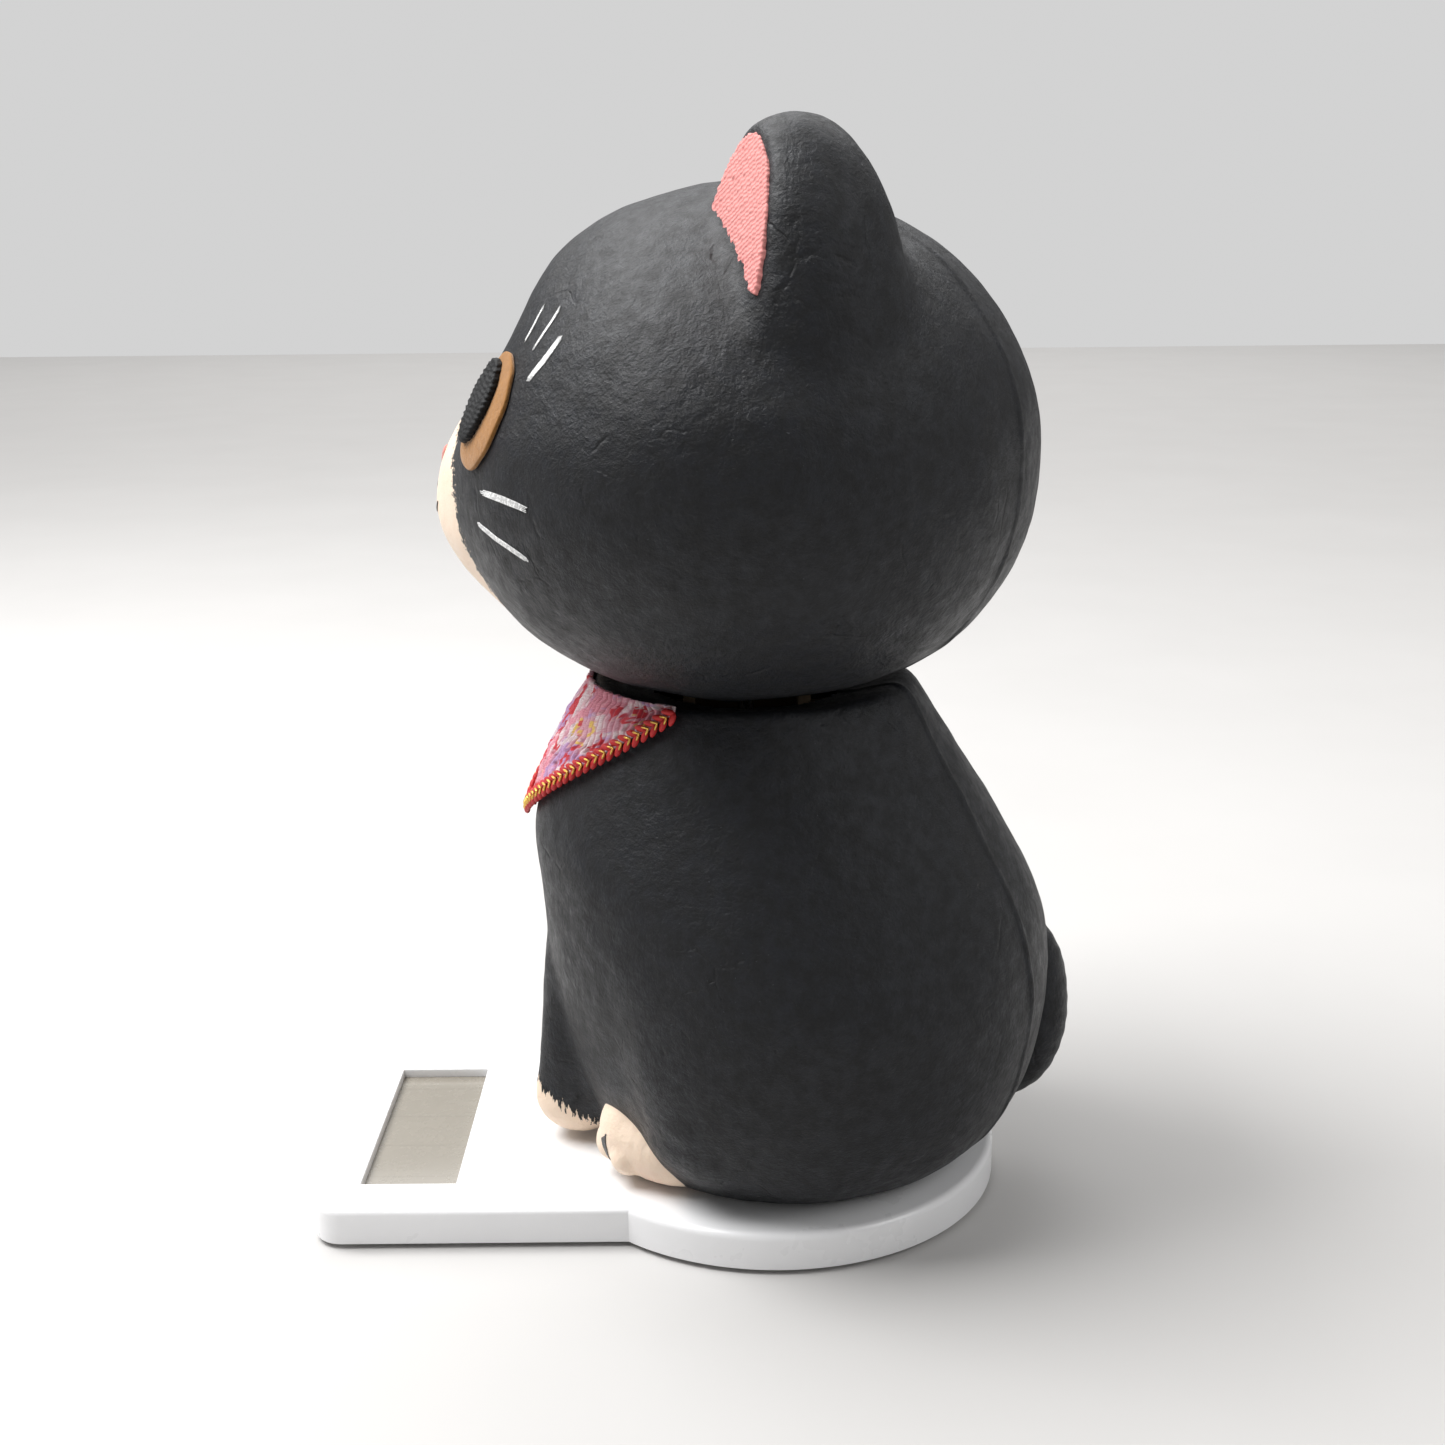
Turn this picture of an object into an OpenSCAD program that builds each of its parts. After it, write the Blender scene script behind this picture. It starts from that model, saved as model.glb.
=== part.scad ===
// Beckoning cat with a swaying head, on a solar driven base.
// Paper shells over a two-axis neck pivot, a pendulum with a magnet, and a coil in the base.
// Frame: origin on the table in the middle of the outline, the cat faces -Y, its left is +X, up is +Z.

/* [Base] */
// Radius of the round stage that the cat stands on
stage_r = 30; // [30:0.5:33]
// Distance from the stage's centre to the front edge of the base
panel_reach = 59.3; // [59:0.1:62]
// Width of the front panel
panel_w = 46.4; // [46:0.2:50]
// Radius of the front corners
corner_r = 4; // [3:0.5:5]
// Height of the white base above its feet
base_h = 4.8; // [4.8:0.1:5.4]
// Thickness of the base's walls and top
base_wall = 1.3; // [1.2:0.1:1.4]
// Clear height under the base, made by the rubber feet
foot_h = 0.7; // [0.6:0.1:0.9]
// Length of the window over the solar cell
window_l = 33.1; // [31:0.1:34]
// Width of the window over the solar cell
window_w = 12.3; // [11.5:0.1:12.6]

/* [Body] */
// Thickness of the paper shells
paper_t = 1.6; // [1.4:0.1:1.8]
// Distance of the neck's axis in front of the stage's centre
neck_shift = 3.4; // [3:0.1:3.8]
// Gap between the body's lip and the head that sways over it
neck_gap = 1.1; // [1:0.05:1.3]
// Distance that the tail reaches behind the stage's centre
tail_reach = 40; // [39.8:0.1:40.2]

/* [Head] */
// Width of the head across the cheeks
head_w = 80; // [79:0.5:82]
// Depth of the head from face to back
head_d = 72.6; // [72:0.2:73]
// Height of the head without its ears
head_tall = 62.1; // [61.8:0.1:62.4]
// Height of the head's middle above the body's underside
head_lift = 92.2; // [92.1:0.1:92.6]
// How far the brow is set back above the muzzle
brow_dip = 4.1; // [3.5:0.1:4.5]
// Height of the ear tips above the head's middle
ear_rise = 38.2; // [37.8:0.1:38.6]

/* [Neck pivot] */
// Height of the pivot above the body's underside
pivot_lift = 93.3; // [93:0.1:94]
// Radius of the pivot pins
pin_r = 0.75; // [0.7:0.05:0.8]
// Radial clearance of the pins in their bores
pin_gap = 0.05; // [0.02:0.01:0.08]
// Radius of the counterweight
weight_r = 6.5; // [6:0.5:7.5]
// Height of the counterweight
weight_h = 10; // [8:1:14]

/* [Hidden] */

$fn = 48;
eps = 0.01;
stage_y = (panel_reach - tail_reach) / 2;
front_y = stage_y - panel_reach;
base_top = foot_h + base_h;
roof_z = base_top - base_wall;
plate_t = 1.2;
plate_z = foot_h + plate_t;
tape_t = 0.4;
cat_z = base_top + tape_t;
neck_y = stage_y - neck_shift;
window_back = 47.8;
window_y = stage_y - window_back;

// Screw posts: two beside the cell panel and two behind the coil
post_front = 34;
post_rear = 15;
post_places = [[18, stage_y - post_front], [-18, stage_y - post_front], [19, stage_y + post_rear],
  [-19, stage_y + post_rear]];
post_r = 2.2;
screw_r = 0.8;
screw_head_r = 1.5;
screw_head_h = 0.6;

// Feet: near the four corners of the outline
foot_front = 7;
foot_rear = 20;
foot_places = [[17.5, front_y + foot_front], [-17.5, front_y + foot_front], [15, stage_y + foot_rear],
  [-15, stage_y + foot_rear]];
foot_r = 3.2;
foot_sink = 0.5;

// Solar cell and its foam tape
cell_l = 35;
cell_w = 13.9;
cell_t = 1.1;
cell_tape_t = 0.6;

// Coil and its bobbin
bobbin_r = 11;
bobbin_core_r = 3;
bobbin_t = 0.4;
coil_r = 10;
coil_gap = roof_z - plate_z;

// Circuit board behind the cell
board_w = 22;
board_d = 9;
board_t = 0.8;
board_front = 28;
board_y = stage_y - board_front;

// Body shell: height above its underside, then front, back and half width about the stage's centre
body_stations = [
  [0, -21, 25, 23.5], [1.5, -22.8, 27.6, 25.6], [6, -25.2, 31.5, 29.6], [14, -28, 35.2, 33],
  [26, -29.8, 36.5, 34], [36, -30.6, 34.2, 32], [44, -31.4, 30, 29], [52, -29.3, 24.9, 25.4],
  [58, -26.2, 21.2, 23.2], [62.7, -23.2, 18.2, 21.4]
];
seam_angle = 60;

// Board that closes the underside
bottom_r = 21;
bottom_t = 1.6;
board_back = 2;

// Lip: the body's top turns in under the head, a neck_gap away from it, between two rises
lip_rise = [-64, -75];

// Head shell
head_z = cat_z + head_lift;
head_a = head_w / 2;
head_b = head_d / 2;
head_c = 31.8;
head_low = head_tall - head_c;
brow_lift = 13.6;
brow_spread = 8;
neck_hole_r = 14.6;
cup_r = 14.5;
cup_wall = 1.2;
first_turn = -66;
hole_z = head_z - head_low * pow(1 - pow(neck_hole_r / (head_a + head_b) * 2, 2.3), 1 / 2.3);

// Neck pivot
pivot_z = cat_z + pivot_lift;
upright_y = 7.4;
upright_t = 1.6;
upright_w = 5;
ring_r = 5.6;
ring_bore_r = 3.6;
ring_h = 3.2;
frame_z = cat_z + 53;
frame_h = 3.5;
frame_r = 20.4;
cup_top_z = pivot_z + 8;
rod_r = 0.9;
magnet_r = 5;
magnet_h = 3;
magnet_z = cat_z + 4.2;

// --- Smooth curves and lofts ---

// Point on a smooth curve through a list of stations, where s counts stations from 0
function cubic(p0, p1, p2, p3, t) =
  0.5 * (2 * p1 + (p2 - p0) * t + (2 * p0 - 5 * p1 + 4 * p2 - p3) * t * t
  + (3 * p1 - p0 - 3 * p2 + p3) * t * t * t);
function along(list, s) =
  let (last = len(list) - 1, i = min(floor(s), last - 1))
  cubic(list[max(i - 1, 0)], list[i], list[i + 1], list[min(i + 2, last)], s - i);
function unit(v) = v / norm(v);

// Closed solid between an outer and an inner grid of points, cols by rows, open along every edge
module grid_solid(outer, inner, cols, rows) {
  wide = cols + 1;
  tall = rows + 1;
  count = wide * tall;
  points = concat(
    [for (i = [0:cols]) for (j = [0:rows]) outer(i, j)],
    [for (i = [0:cols]) for (j = [0:rows]) inner(i, j)]);
  faces = concat(
    [for (i = [0:cols - 1]) for (j = [0:rows - 1]) let (k = i * tall + j)
      each [[k, k + 1, k + tall], [k + 1, k + tall + 1, k + tall]]],
    [for (i = [0:cols - 1]) for (j = [0:rows - 1]) let (k = count + i * tall + j)
      each [[k, k + tall, k + 1], [k + 1, k + tall, k + tall + 1]]],
    [for (i = [0:cols - 1]) let (k = i * tall)
      each [[k, k + tall, k + count], [k + tall, k + count + tall, k + count]]],
    [for (i = [0:cols - 1]) let (k = i * tall + rows)
      each [[k, k + count, k + tall], [k + tall, k + count, k + count + tall]]],
    [for (j = [0:rows - 1])
      each [[j, j + count, j + 1], [j + 1, j + count, j + count + 1]]],
    [for (j = [0:rows - 1]) let (k = cols * tall + j)
      each [[k, k + 1, k + count], [k + 1, k + count + 1, k + count]]]);
  polyhedron(points, faces, convexity = 6);
}

// The same, with the top row closed to one outer and one inner pole
module capped_solid(outer, inner, outer_pole, inner_pole, cols, rows) {
  tall = rows + 1;
  count = (cols + 1) * tall;
  pole = 2 * count;
  points = concat(
    [for (i = [0:cols]) for (j = [0:rows]) outer(i, j)],
    [for (i = [0:cols]) for (j = [0:rows]) inner(i, j)], [outer_pole, inner_pole]);
  faces = concat(
    [for (i = [0:cols - 1]) for (j = [0:rows - 1]) let (k = i * tall + j)
      each [[k, k + 1, k + tall], [k + 1, k + tall + 1, k + tall]]],
    [for (i = [0:cols - 1]) for (j = [0:rows - 1]) let (k = count + i * tall + j)
      each [[k, k + tall, k + 1], [k + 1, k + tall, k + tall + 1]]],
    [for (i = [0:cols - 1]) let (k = i * tall)
      each [[k, k + tall, k + count], [k + tall, k + count + tall, k + count]]],
    [for (i = [0:cols - 1]) let (k = i * tall + rows)
      each [[k, pole, k + tall], [k + count, k + count + tall, pole + 1]]],
    [for (j = [0:rows - 1])
      each [[j, j + count, j + 1], [j + 1, j + count, j + count + 1]]],
    [for (j = [0:rows - 1]) let (k = cols * tall + j)
      each [[k, k + 1, k + count], [k + 1, k + count + 1, k + count]]],
    [[rows, rows + count, pole], [pole, rows + count, pole + 1],
      [count - 1, pole, 2 * count - 1], [pole, pole + 1, 2 * count - 1]]);
  polyhedron(points, faces, convexity = 6);
}

// Hollow dome, closed all round: a base ring at row 0, and one outer and one inner pole
module dome_solid(outer, inner, outer_pole, inner_pole, cols, rows) {
  tall = rows + 1;
  count = cols * tall;
  pole = 2 * count;
  points = concat(
    [for (i = [0:cols - 1]) for (j = [0:rows]) outer(i, j)],
    [for (i = [0:cols - 1]) for (j = [0:rows]) inner(i, j)], [outer_pole, inner_pole]);
  faces = concat(
    [for (i = [0:cols - 1]) for (j = [0:rows - 1])
      let (k = i * tall + j, m = ((i + 1) % cols) * tall + j)
      each [[k, k + 1, m], [k + 1, m + 1, m],
        [count + k, count + m, count + k + 1], [count + k + 1, count + m, count + m + 1]]],
    [for (i = [0:cols - 1]) let (k = i * tall, m = ((i + 1) % cols) * tall)
      each [[k, m, count + k], [m, count + m, count + k]]],
    [for (i = [0:cols - 1]) let (k = i * tall + rows, m = ((i + 1) % cols) * tall + rows)
      each [[k, pole, m], [count + k, count + m, pole + 1]]]);
  polyhedron(points, faces, convexity = 6);
}

// Round or oval limb through stations [x, y, z, across, deep], with rounded ends
module limb(stations, ref = [1, 0, 0], sides = 16, steps = 3) {
  last = len(stations) - 1;
  rings = last * steps;
  cap = 3;
  function place(s) = let (p = along(stations, s)) [p[0], p[1], p[2]];
  function heading(s) = unit(place(min(s + 0.05, last)) - place(max(s - 0.05, 0)));
  function ring(s, shift, grow) =
    let (p = along(stations, s), t = heading(s), u = unit(ref - t * (ref * t)), v = cross(t, u))
    [for (i = [0:sides - 1]) let (a = 360 * i / sides)
      place(s) + t * shift + u * p[3] * grow * cos(a) + v * p[4] * grow * sin(a)];
  start_r = min(stations[0][3], stations[0][4]);
  end_r = min(stations[last][3], stations[last][4]);
  all = concat(
    [for (k = [1:cap - 1]) let (a = 90 * k / cap) ring(0, -start_r * cos(a), sin(a))],
    [for (k = [0:rings]) ring(k / steps, 0, 1)],
    [for (k = [cap - 1:-1:1]) let (a = 90 * k / cap) ring(last, end_r * cos(a), sin(a))]);
  count = len(all);
  points = concat([for (r = all) each r],
    [place(0) - heading(0) * start_r, place(last) + heading(last) * end_r]);
  bottom = count * sides;
  faces = concat(
    [for (k = [0:count - 2]) for (i = [0:sides - 1])
      let (a = k * sides + i, b = k * sides + (i + 1) % sides)
      each [[a, a + sides, b], [b, a + sides, b + sides]]],
    [for (i = [0:sides - 1]) [bottom, i, (i + 1) % sides]],
    [for (i = [0:sides - 1]) let (k = (count - 1) * sides)
      [bottom + 1, k + (i + 1) % sides, k + i]]);
  polyhedron(points, faces, convexity = 6);
}

// Thin closed patch laid on the cat: skin(r, a, out) is its point at radius r from 0 to 1
module patch(skin, low, high, rings = 4, sides = 28) {
  layer = rings * sides + 1;
  points = [for (out = [high, low])
    each concat([skin(0, 0, out)],
      [for (k = [1:rings]) for (i = [0:sides - 1]) skin(k / rings, 360 * i / sides, out)])];
  faces = concat(
    [for (i = [0:sides - 1]) [0, 1 + (i + 1) % sides, 1 + i]],
    [for (i = [0:sides - 1]) [layer, layer + 1 + i, layer + 1 + (i + 1) % sides]],
    [for (k = [0:rings - 2]) for (i = [0:sides - 1])
      let (a = 1 + k * sides + i, b = 1 + k * sides + (i + 1) % sides, m = layer)
      each [[a, b, a + sides], [b, b + sides, a + sides],
        [a + m, a + sides + m, b + m], [b + m, a + sides + m, b + sides + m]]],
    [for (i = [0:sides - 1])
      let (a = 1 + (rings - 1) * sides + i, b = 1 + (rings - 1) * sides + (i + 1) % sides)
      each [[a, b, a + layer], [b, b + layer, a + layer]]]);
  polyhedron(points, faces, convexity = 6);
}

// --- Skins of the cat ---

// Body skin at turn a (0 is the cat's left, -90 its front) and station s, moved out by out
function body_point(a, s, out) =
  let (p = along(body_stations, s), mid = (p[1] + p[2]) / 2, half = (p[2] - p[1]) / 2)
  [(p[3] + out) * cos(a), stage_y + mid + (half + out) * sin(a), cat_z + p[0]];

// Station number at a height above the body's underside, found by halving
function station_at(h, lo = 0, hi = len(body_stations) - 1, n = 14) =
  let (mid = (lo + hi) / 2)
  n == 0 ? mid : along(body_stations, mid)[0] > h ? station_at(h, lo, mid, n - 1)
  : station_at(h, mid, hi, n - 1);

// Head skin at turn a and rise t (-90 is its underside, 90 its crown), moved out by out
function head_point(a, t, out) =
  let (
    n = t < 0 ? 2.3 : 2,
    k = pow(max(1 - pow(abs(sin(t)), n), 0), 1 / n),
    up = (t < 0 ? head_low : head_c) * sin(t),
    face = pow(max(-sin(a), 0), 2),
    dip = brow_dip * face * exp(-pow((up - brow_lift) / brow_spread, 2) / 2))
  [(head_a * k + out * cos(t)) * cos(a), neck_y + (head_b * k + out * cos(t)) * sin(a) + dip,
    head_z + up + out * sin(t)];

// Eye outline: an upright oval on the left of the face
eye_turn = 25;
eye_rise = 11.5;
function face_oval(turn, rise, half_w, half_h, r, a, out) =
  head_point(-90 + turn + half_w * r * cos(a), rise + half_h * r * sin(a), out);

// --- Base ---

module base_plan(inset) {
  half = panel_w / 2 - inset;
  front = front_y + inset;
  round_r = corner_r - inset;
  translate([0, stage_y])
    circle(r = stage_r - inset, $fn = 96);
  translate([-half, front + round_r])
    square([2 * half, stage_y - front - round_r]);
  translate([-half + round_r, front])
    square([2 * (half - round_r), corner_r]);
  for (side = [-1, 1])
    translate([side * (half - round_r), front + round_r])
      circle(r = round_r);
}

module base_shell() {
  color("white") {
    difference() {
      translate([0, 0, foot_h])
        linear_extrude(base_h)
          base_plan(0);
      translate([0, 0, foot_h - eps])
        linear_extrude(base_h - base_wall + eps)
          base_plan(base_wall);
      translate([-window_l / 2, window_y - window_w / 2, roof_z - eps])
        cube([window_l, window_w, base_wall + 2 * eps]);
    }
    for (place = post_places)
      translate([place[0], place[1], plate_z])
        difference() {
          cylinder(r = post_r, h = roof_z - plate_z + 0.2);
          translate([0, 0, -eps])
            cylinder(r = screw_r, h = 2);
        }
  }
}

module base_plate() {
  color("white")
    difference() {
      translate([0, 0, foot_h])
        linear_extrude(plate_t)
          base_plan(base_wall + 0.05);
      for (place = post_places)
        translate([place[0], place[1], foot_h - eps]) {
          cylinder(r = screw_r + 0.2, h = plate_t + 2 * eps);
          cylinder(r = screw_head_r + 0.2, h = screw_head_h + eps);
        }
      for (place = foot_places)
        translate([place[0], place[1], foot_h - eps])
          cylinder(r = foot_r + 0.05, h = foot_sink + eps);
    }
}

module rubber_feet() {
  color("dimgray")
    for (place = foot_places)
      translate([place[0], place[1], 0])
        cylinder(r = foot_r, h = foot_h + foot_sink);
}

module base_screws() {
  color("silver")
    for (place = post_places)
      translate([place[0], place[1], foot_h]) {
        cylinder(r = screw_head_r, h = screw_head_h);
        cylinder(r = screw_r, h = plate_t + 1.6);
      }
}

module solar_cell() {
  color("rosybrown")
    translate([-cell_l / 2, window_y - cell_w / 2, roof_z - cell_t])
      cube([cell_l, cell_w, cell_t]);
}

module cell_tape() {
  color("black")
    translate([-cell_l / 2 + 2, window_y - cell_w / 2 + 2, roof_z - cell_t - cell_tape_t])
      cube([cell_l - 4, cell_w - 4, cell_tape_t]);
}

module coil_bobbin() {
  color("ivory")
    translate([0, neck_y, plate_z])
      difference() {
        union() {
          cylinder(r = bobbin_r, h = bobbin_t);
          cylinder(r = bobbin_core_r, h = coil_gap);
          translate([0, 0, coil_gap - bobbin_t])
            cylinder(r = bobbin_r, h = bobbin_t);
        }
        translate([0, 0, -eps])
          cylinder(r = 1, h = coil_gap + 2 * eps);
      }
}

module drive_coil() {
  color("peru")
    translate([0, neck_y, plate_z + bobbin_t])
      difference() {
        cylinder(r = coil_r, h = coil_gap - 2 * bobbin_t);
        translate([0, 0, -eps])
          cylinder(r = bobbin_core_r, h = coil_gap);
      }
}

module circuit_board() {
  color("darkgreen")
    translate([-board_w / 2, board_y - board_d / 2, plate_z])
      cube([board_w, board_d, board_t]);
}

module driver_chip() {
  color("black")
    translate([-6, board_y - 2, plate_z + board_t])
      cube([5, 4, 0.9]);
}

module storage_capacitor() {
  color("gold")
    translate([5, board_y, plate_z + board_t])
      cylinder(r = 3, h = 1.3);
}

module cell_wires() {
  color("red")
    for (side = [-1, 1])
      limb([[side * 8, window_y + 5, plate_z + 0.4, 0.3, 0.3],
        [side * 9, board_y - 10, plate_z + 0.45, 0.3, 0.3],
        [side * 9, board_y - 5.2, plate_z + 0.5, 0.3, 0.3]], sides = 8, steps = 2);
}

module coil_wires() {
  color("peru")
    for (side = [-1, 1])
      limb([[side * 4, board_y + 5, plate_z + 0.5, 0.15, 0.15],
        [side * 5, board_y + 8, plate_z + 0.7, 0.15, 0.15],
        [side * 4, neck_y - 9.3, plate_z + 0.9, 0.15, 0.15]], sides = 8, steps = 2);
}

module stage_tape() {
  color("whitesmoke")
    translate([0, stage_y + 1, base_top])
      cylinder(r = 16, h = tape_t);
}

// --- Body ---

body_rows = 16;
lip_rows = 4;
// The inner skin starts a little higher than the outer one over the rim, which keeps the wall's thickness
rim_lift = 0.4;

// Outer and inner skin from the underside up, then in over the lip
function body_skin(a, j, out) =
  j <= body_rows ? body_point(a, (len(body_stations) - 1) * j / body_rows, out)
  : let (t = lip_rise[0] + (lip_rise[1] - lip_rise[0]) * (j - body_rows - 1) / (lip_rows - 1))
    head_point(a, t, neck_gap - out);

module body_sector(from, to, cols) {
  turn = function(i) from + (to - from) * i / cols;
  outer = function(i, j) body_skin(turn(i), j, 0);
  inner = function(i, j)
    body_skin(turn(i), j, -paper_t) + (j == 1 ? [0, 0, rim_lift] : [0, 0, 0]);
  color("darkslategray")
    grid_solid(outer, inner, cols, body_rows + lip_rows);
}

module body_front_shell() {
  body_sector(-180 - seam_angle, seam_angle, 40);
}

module body_back_panel() {
  body_sector(seam_angle, 180 - seam_angle, 8);
}

module bottom_board() {
  color("burlywood")
    translate([0, stage_y + board_back, cat_z])
      cylinder(r = bottom_r, h = bottom_t);
}

function at_body(x, y, h) = [x, stage_y + y, cat_z + h];

// Room inside the body, where the pendulum swings: a cone that the feet don't reach into
module inner_room() {
  translate([0, stage_y + board_back, cat_z - 1])
    scale([1, 0.97, 1])
      cylinder(r1 = bottom_r + 0.9, r2 = bottom_r + 8, h = 14, $fn = 64);
}

module left_foreleg() {
  color("darkslategray")
    limb([[each at_body(2, -26.6, 34), 3.4, 2.8], [each at_body(2.6, -26.8, 26), 5, 4],
      [each at_body(3, -26.6, 16), 5.8, 4.8], [each at_body(3, -26.8, 9), 6, 5.2],
      [each at_body(3, -27.2, 5.2), 6, 5]]);
}

module right_raised_arm() {
  color("darkslategray")
    limb([[each at_body(-21, -12, 41), 5, 5], [each at_body(-26.6, -15.6, 49), 5.6, 5.4],
      [each at_body(-31, -19.8, 57), 5, 5], [each at_body(-33.5, -23.2, 65.6), 4.8, 5],
      [each at_body(-34.4, -25.4, 73), 5.2, 5.8]]);
}

module hind_foot(side) {
  color("bisque")
    difference() {
      limb([[each at_body(side * 15.4, -7, 6), 4.2, 4.6], [each at_body(side * 14.4, -12.4, 5), 5, 4.8],
        [each at_body(side * 12.6, -17.4, 4.5), 5, 4.4]]);
      inner_room();
    }
}

module left_hind_foot() {
  hind_foot(1);
}

module right_hind_foot() {
  hind_foot(-1);
}

module tail() {
  color("darkslategray")
    limb([[each at_body(0, 33.8, 28), 2.2, 2], [each at_body(0, 34.8, 23), 5, 4.4],
      [each at_body(0, tail_reach - 5, 16), 5.6, 5], [each at_body(0, 33, 9), 5, 4.6],
      [each at_body(0, 30.4, 6), 3.4, 3]]);
}

// The bib is a triangle of cloth: its lower edge rises from the tip to the two corners
bib_turn = 62;
bib_tip_h = 45.6;
bib_corner_h = 62.6;
bib_top_h = 63.7;
bib_lean = 0.2;
bib_out = 0.9;
body_top_h = body_stations[len(body_stations) - 1][0];

function bib_low(u) = bib_tip_h + (bib_corner_h - bib_tip_h) * pow(abs(u), 1.1);
bib_top_sag = 0.4;

function bib_high(u) = bib_top_h - bib_top_sag * pow(abs(u), 1.5);
function bib_point(u, h, out) =
  let (
    over = max(h - body_top_h, 0),
    p = body_point(-90 + u * bib_turn, station_at(min(h, body_top_h)), out - bib_lean * over))
  [p[0], p[1], cat_z + h];

module bib() {
  cols = 24;
  rows = 6;
  function across(i) = 2 * i / cols - 1;
  function height(i, j) =
    let (low = bib_low(across(i)), high = bib_high(across(i)))
    low + (high - low) * j / rows;
  outer = function(i, j) bib_point(across(i), height(i, j), bib_out);
  inner = function(i, j) bib_point(across(i), height(i, j), 0.15);
  color("hotpink")
    grid_solid(outer, inner, cols, rows);
}

module bib_braid() {
  color("crimson")
    for (side = [-1, 1])
      limb([for (k = [0:5]) let (u = side * (0.06 + 0.9 * k / 5))
        [each bib_point(u, bib_low(u) - 0.4, bib_out + 1), 0.45, 1.3]], ref = [0, -1, 0.2],
        sides = 8, steps = 2);
}

// --- Neck ---

module neck_frame() {
  color("tan")
    difference() {
      union() {
        translate([0, neck_y, frame_z])
          difference() {
            cylinder(r = frame_r, h = frame_h, $fn = 96);
            translate([0, 0, -eps])
              cylinder(r = frame_r - 5, h = frame_h + 2 * eps, $fn = 96);
          }
        for (side = [-1, 1]) {
          translate([-upright_w / 2, neck_y + side * upright_y - upright_t / 2, frame_z])
            cube([upright_w, upright_t, pivot_z - frame_z]);
          translate([0, neck_y + side * upright_y - upright_t / 2, pivot_z])
            rotate([-90, 0, 0])
              cylinder(r = upright_w / 2, h = upright_t);
          translate([-upright_w / 2, neck_y + side * 11.6 - 4.9, frame_z])
            cube([upright_w, 9.8, frame_h]);
        }
      }
      translate([0, neck_y - 12, pivot_z])
        rotate([-90, 0, 0])
          cylinder(r = pin_r + pin_gap, h = 24);
      translate([0, neck_y, frame_z - 1])
        cylinder(r = upright_y - upright_t / 2 - 0.4, h = frame_h + 2);
    }
}

module gimbal_ring() {
  color("silver")
    translate([0, neck_y, pivot_z])
      difference() {
        translate([0, 0, -ring_h / 2])
          cylinder(r = ring_r, h = ring_h);
        translate([0, 0, -ring_h / 2 - eps])
          cylinder(r = ring_bore_r, h = ring_h + 2 * eps);
        translate([0, -ring_r - 1, 0])
          rotate([-90, 0, 0])
            cylinder(r = pin_r, h = 2 * ring_r + 2);
        translate([-ring_r - 1, 0, 0])
          rotate([0, 90, 0])
            cylinder(r = pin_r + pin_gap, h = 2 * ring_r + 2);
      }
}

module sway_pins() {
  color("gray")
    for (side = [0, 180])
      translate([0, neck_y, pivot_z])
        rotate([0, 0, side])
          translate([0, ring_bore_r + 0.1, 0])
            rotate([-90, 0, 0])
              cylinder(r = pin_r, h = upright_y + upright_t / 2 + 0.4 - ring_bore_r);
}

module nod_pin() {
  color("gray")
    translate([-ring_r - 0.4, neck_y, pivot_z])
      rotate([0, 90, 0])
        cylinder(r = pin_r, h = 2 * ring_r + 0.8);
}

module pivot_block() {
  color("goldenrod")
    translate([0, neck_y, pivot_z])
      difference() {
        translate([0, 0, -2.4])
          cylinder(r = 2.6, h = 4.8);
        translate([-4, 0, 0])
          rotate([0, 90, 0])
            cylinder(r = pin_r, h = 8);
        translate([0, 0, -3])
          cylinder(r = rod_r, h = 1.6);
        translate([0, 0, 1.4])
          cylinder(r = rod_r, h = 2);
      }
}

// The rod is in two lengths that screw into the pivot block from below and above
module pendulum_rod() {
  low = magnet_z + magnet_h;
  color("silver")
    translate([0, neck_y, 0]) {
      translate([0, 0, low])
        cylinder(r = rod_r, h = pivot_z - 1.4 - low);
      translate([0, 0, pivot_z + 1.4])
        cylinder(r = rod_r, h = cup_top_z - cup_wall - pivot_z - 1.4 + 1);
    }
}

module counterweight() {
  color("dimgray")
    translate([0, neck_y, magnet_z + magnet_h])
      difference() {
        cylinder(r = weight_r, h = weight_h);
        translate([0, 0, -eps])
          cylinder(r = rod_r, h = weight_h + 2 * eps);
      }
}

module drive_magnet() {
  color("lightgray")
    translate([0, neck_y, magnet_z])
      cylinder(r = magnet_r, h = magnet_h);
}

module head_cup() {
  color("tan")
    translate([0, neck_y, 0])
      difference() {
        translate([0, 0, hole_z])
          cylinder(r = cup_r, h = cup_top_z - hole_z);
        translate([0, 0, hole_z - eps])
          cylinder(r = cup_r - cup_wall, h = cup_top_z - cup_wall - hole_z + eps);
        translate([0, 0, cup_top_z - cup_wall - 1])
          cylinder(r = rod_r, h = 2);
      }
}

// --- Head ---

head_rows = 16;

module head_sector(from, to, cols) {
  function turn(i) = from + (to - from) * i / cols;
  function rise(j) = first_turn + (84 - first_turn) * (j - 1) / (head_rows - 1);
  function hole(a, z) = [neck_hole_r * cos(a), neck_y + neck_hole_r * sin(a), z];
  outer = function(i, j)
    j == 0 ? hole(turn(i), hole_z) : head_point(turn(i), rise(j), 0);
  inner = function(i, j)
    j == 0 ? hole(turn(i), hole_z + paper_t) : head_point(turn(i), rise(j), -paper_t);
  color("darkslategray")
    capped_solid(outer, inner, [0, neck_y, head_z + head_c],
      [0, neck_y, head_z + head_c - paper_t], cols, head_rows);
}

module head_front_shell() {
  head_sector(-180 - seam_angle, seam_angle, 40);
}

module head_back_panel() {
  head_sector(seam_angle, 180 - seam_angle, 8);
}

function at_head(x, y, h) = [x, neck_y + y, head_z + h];

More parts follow.
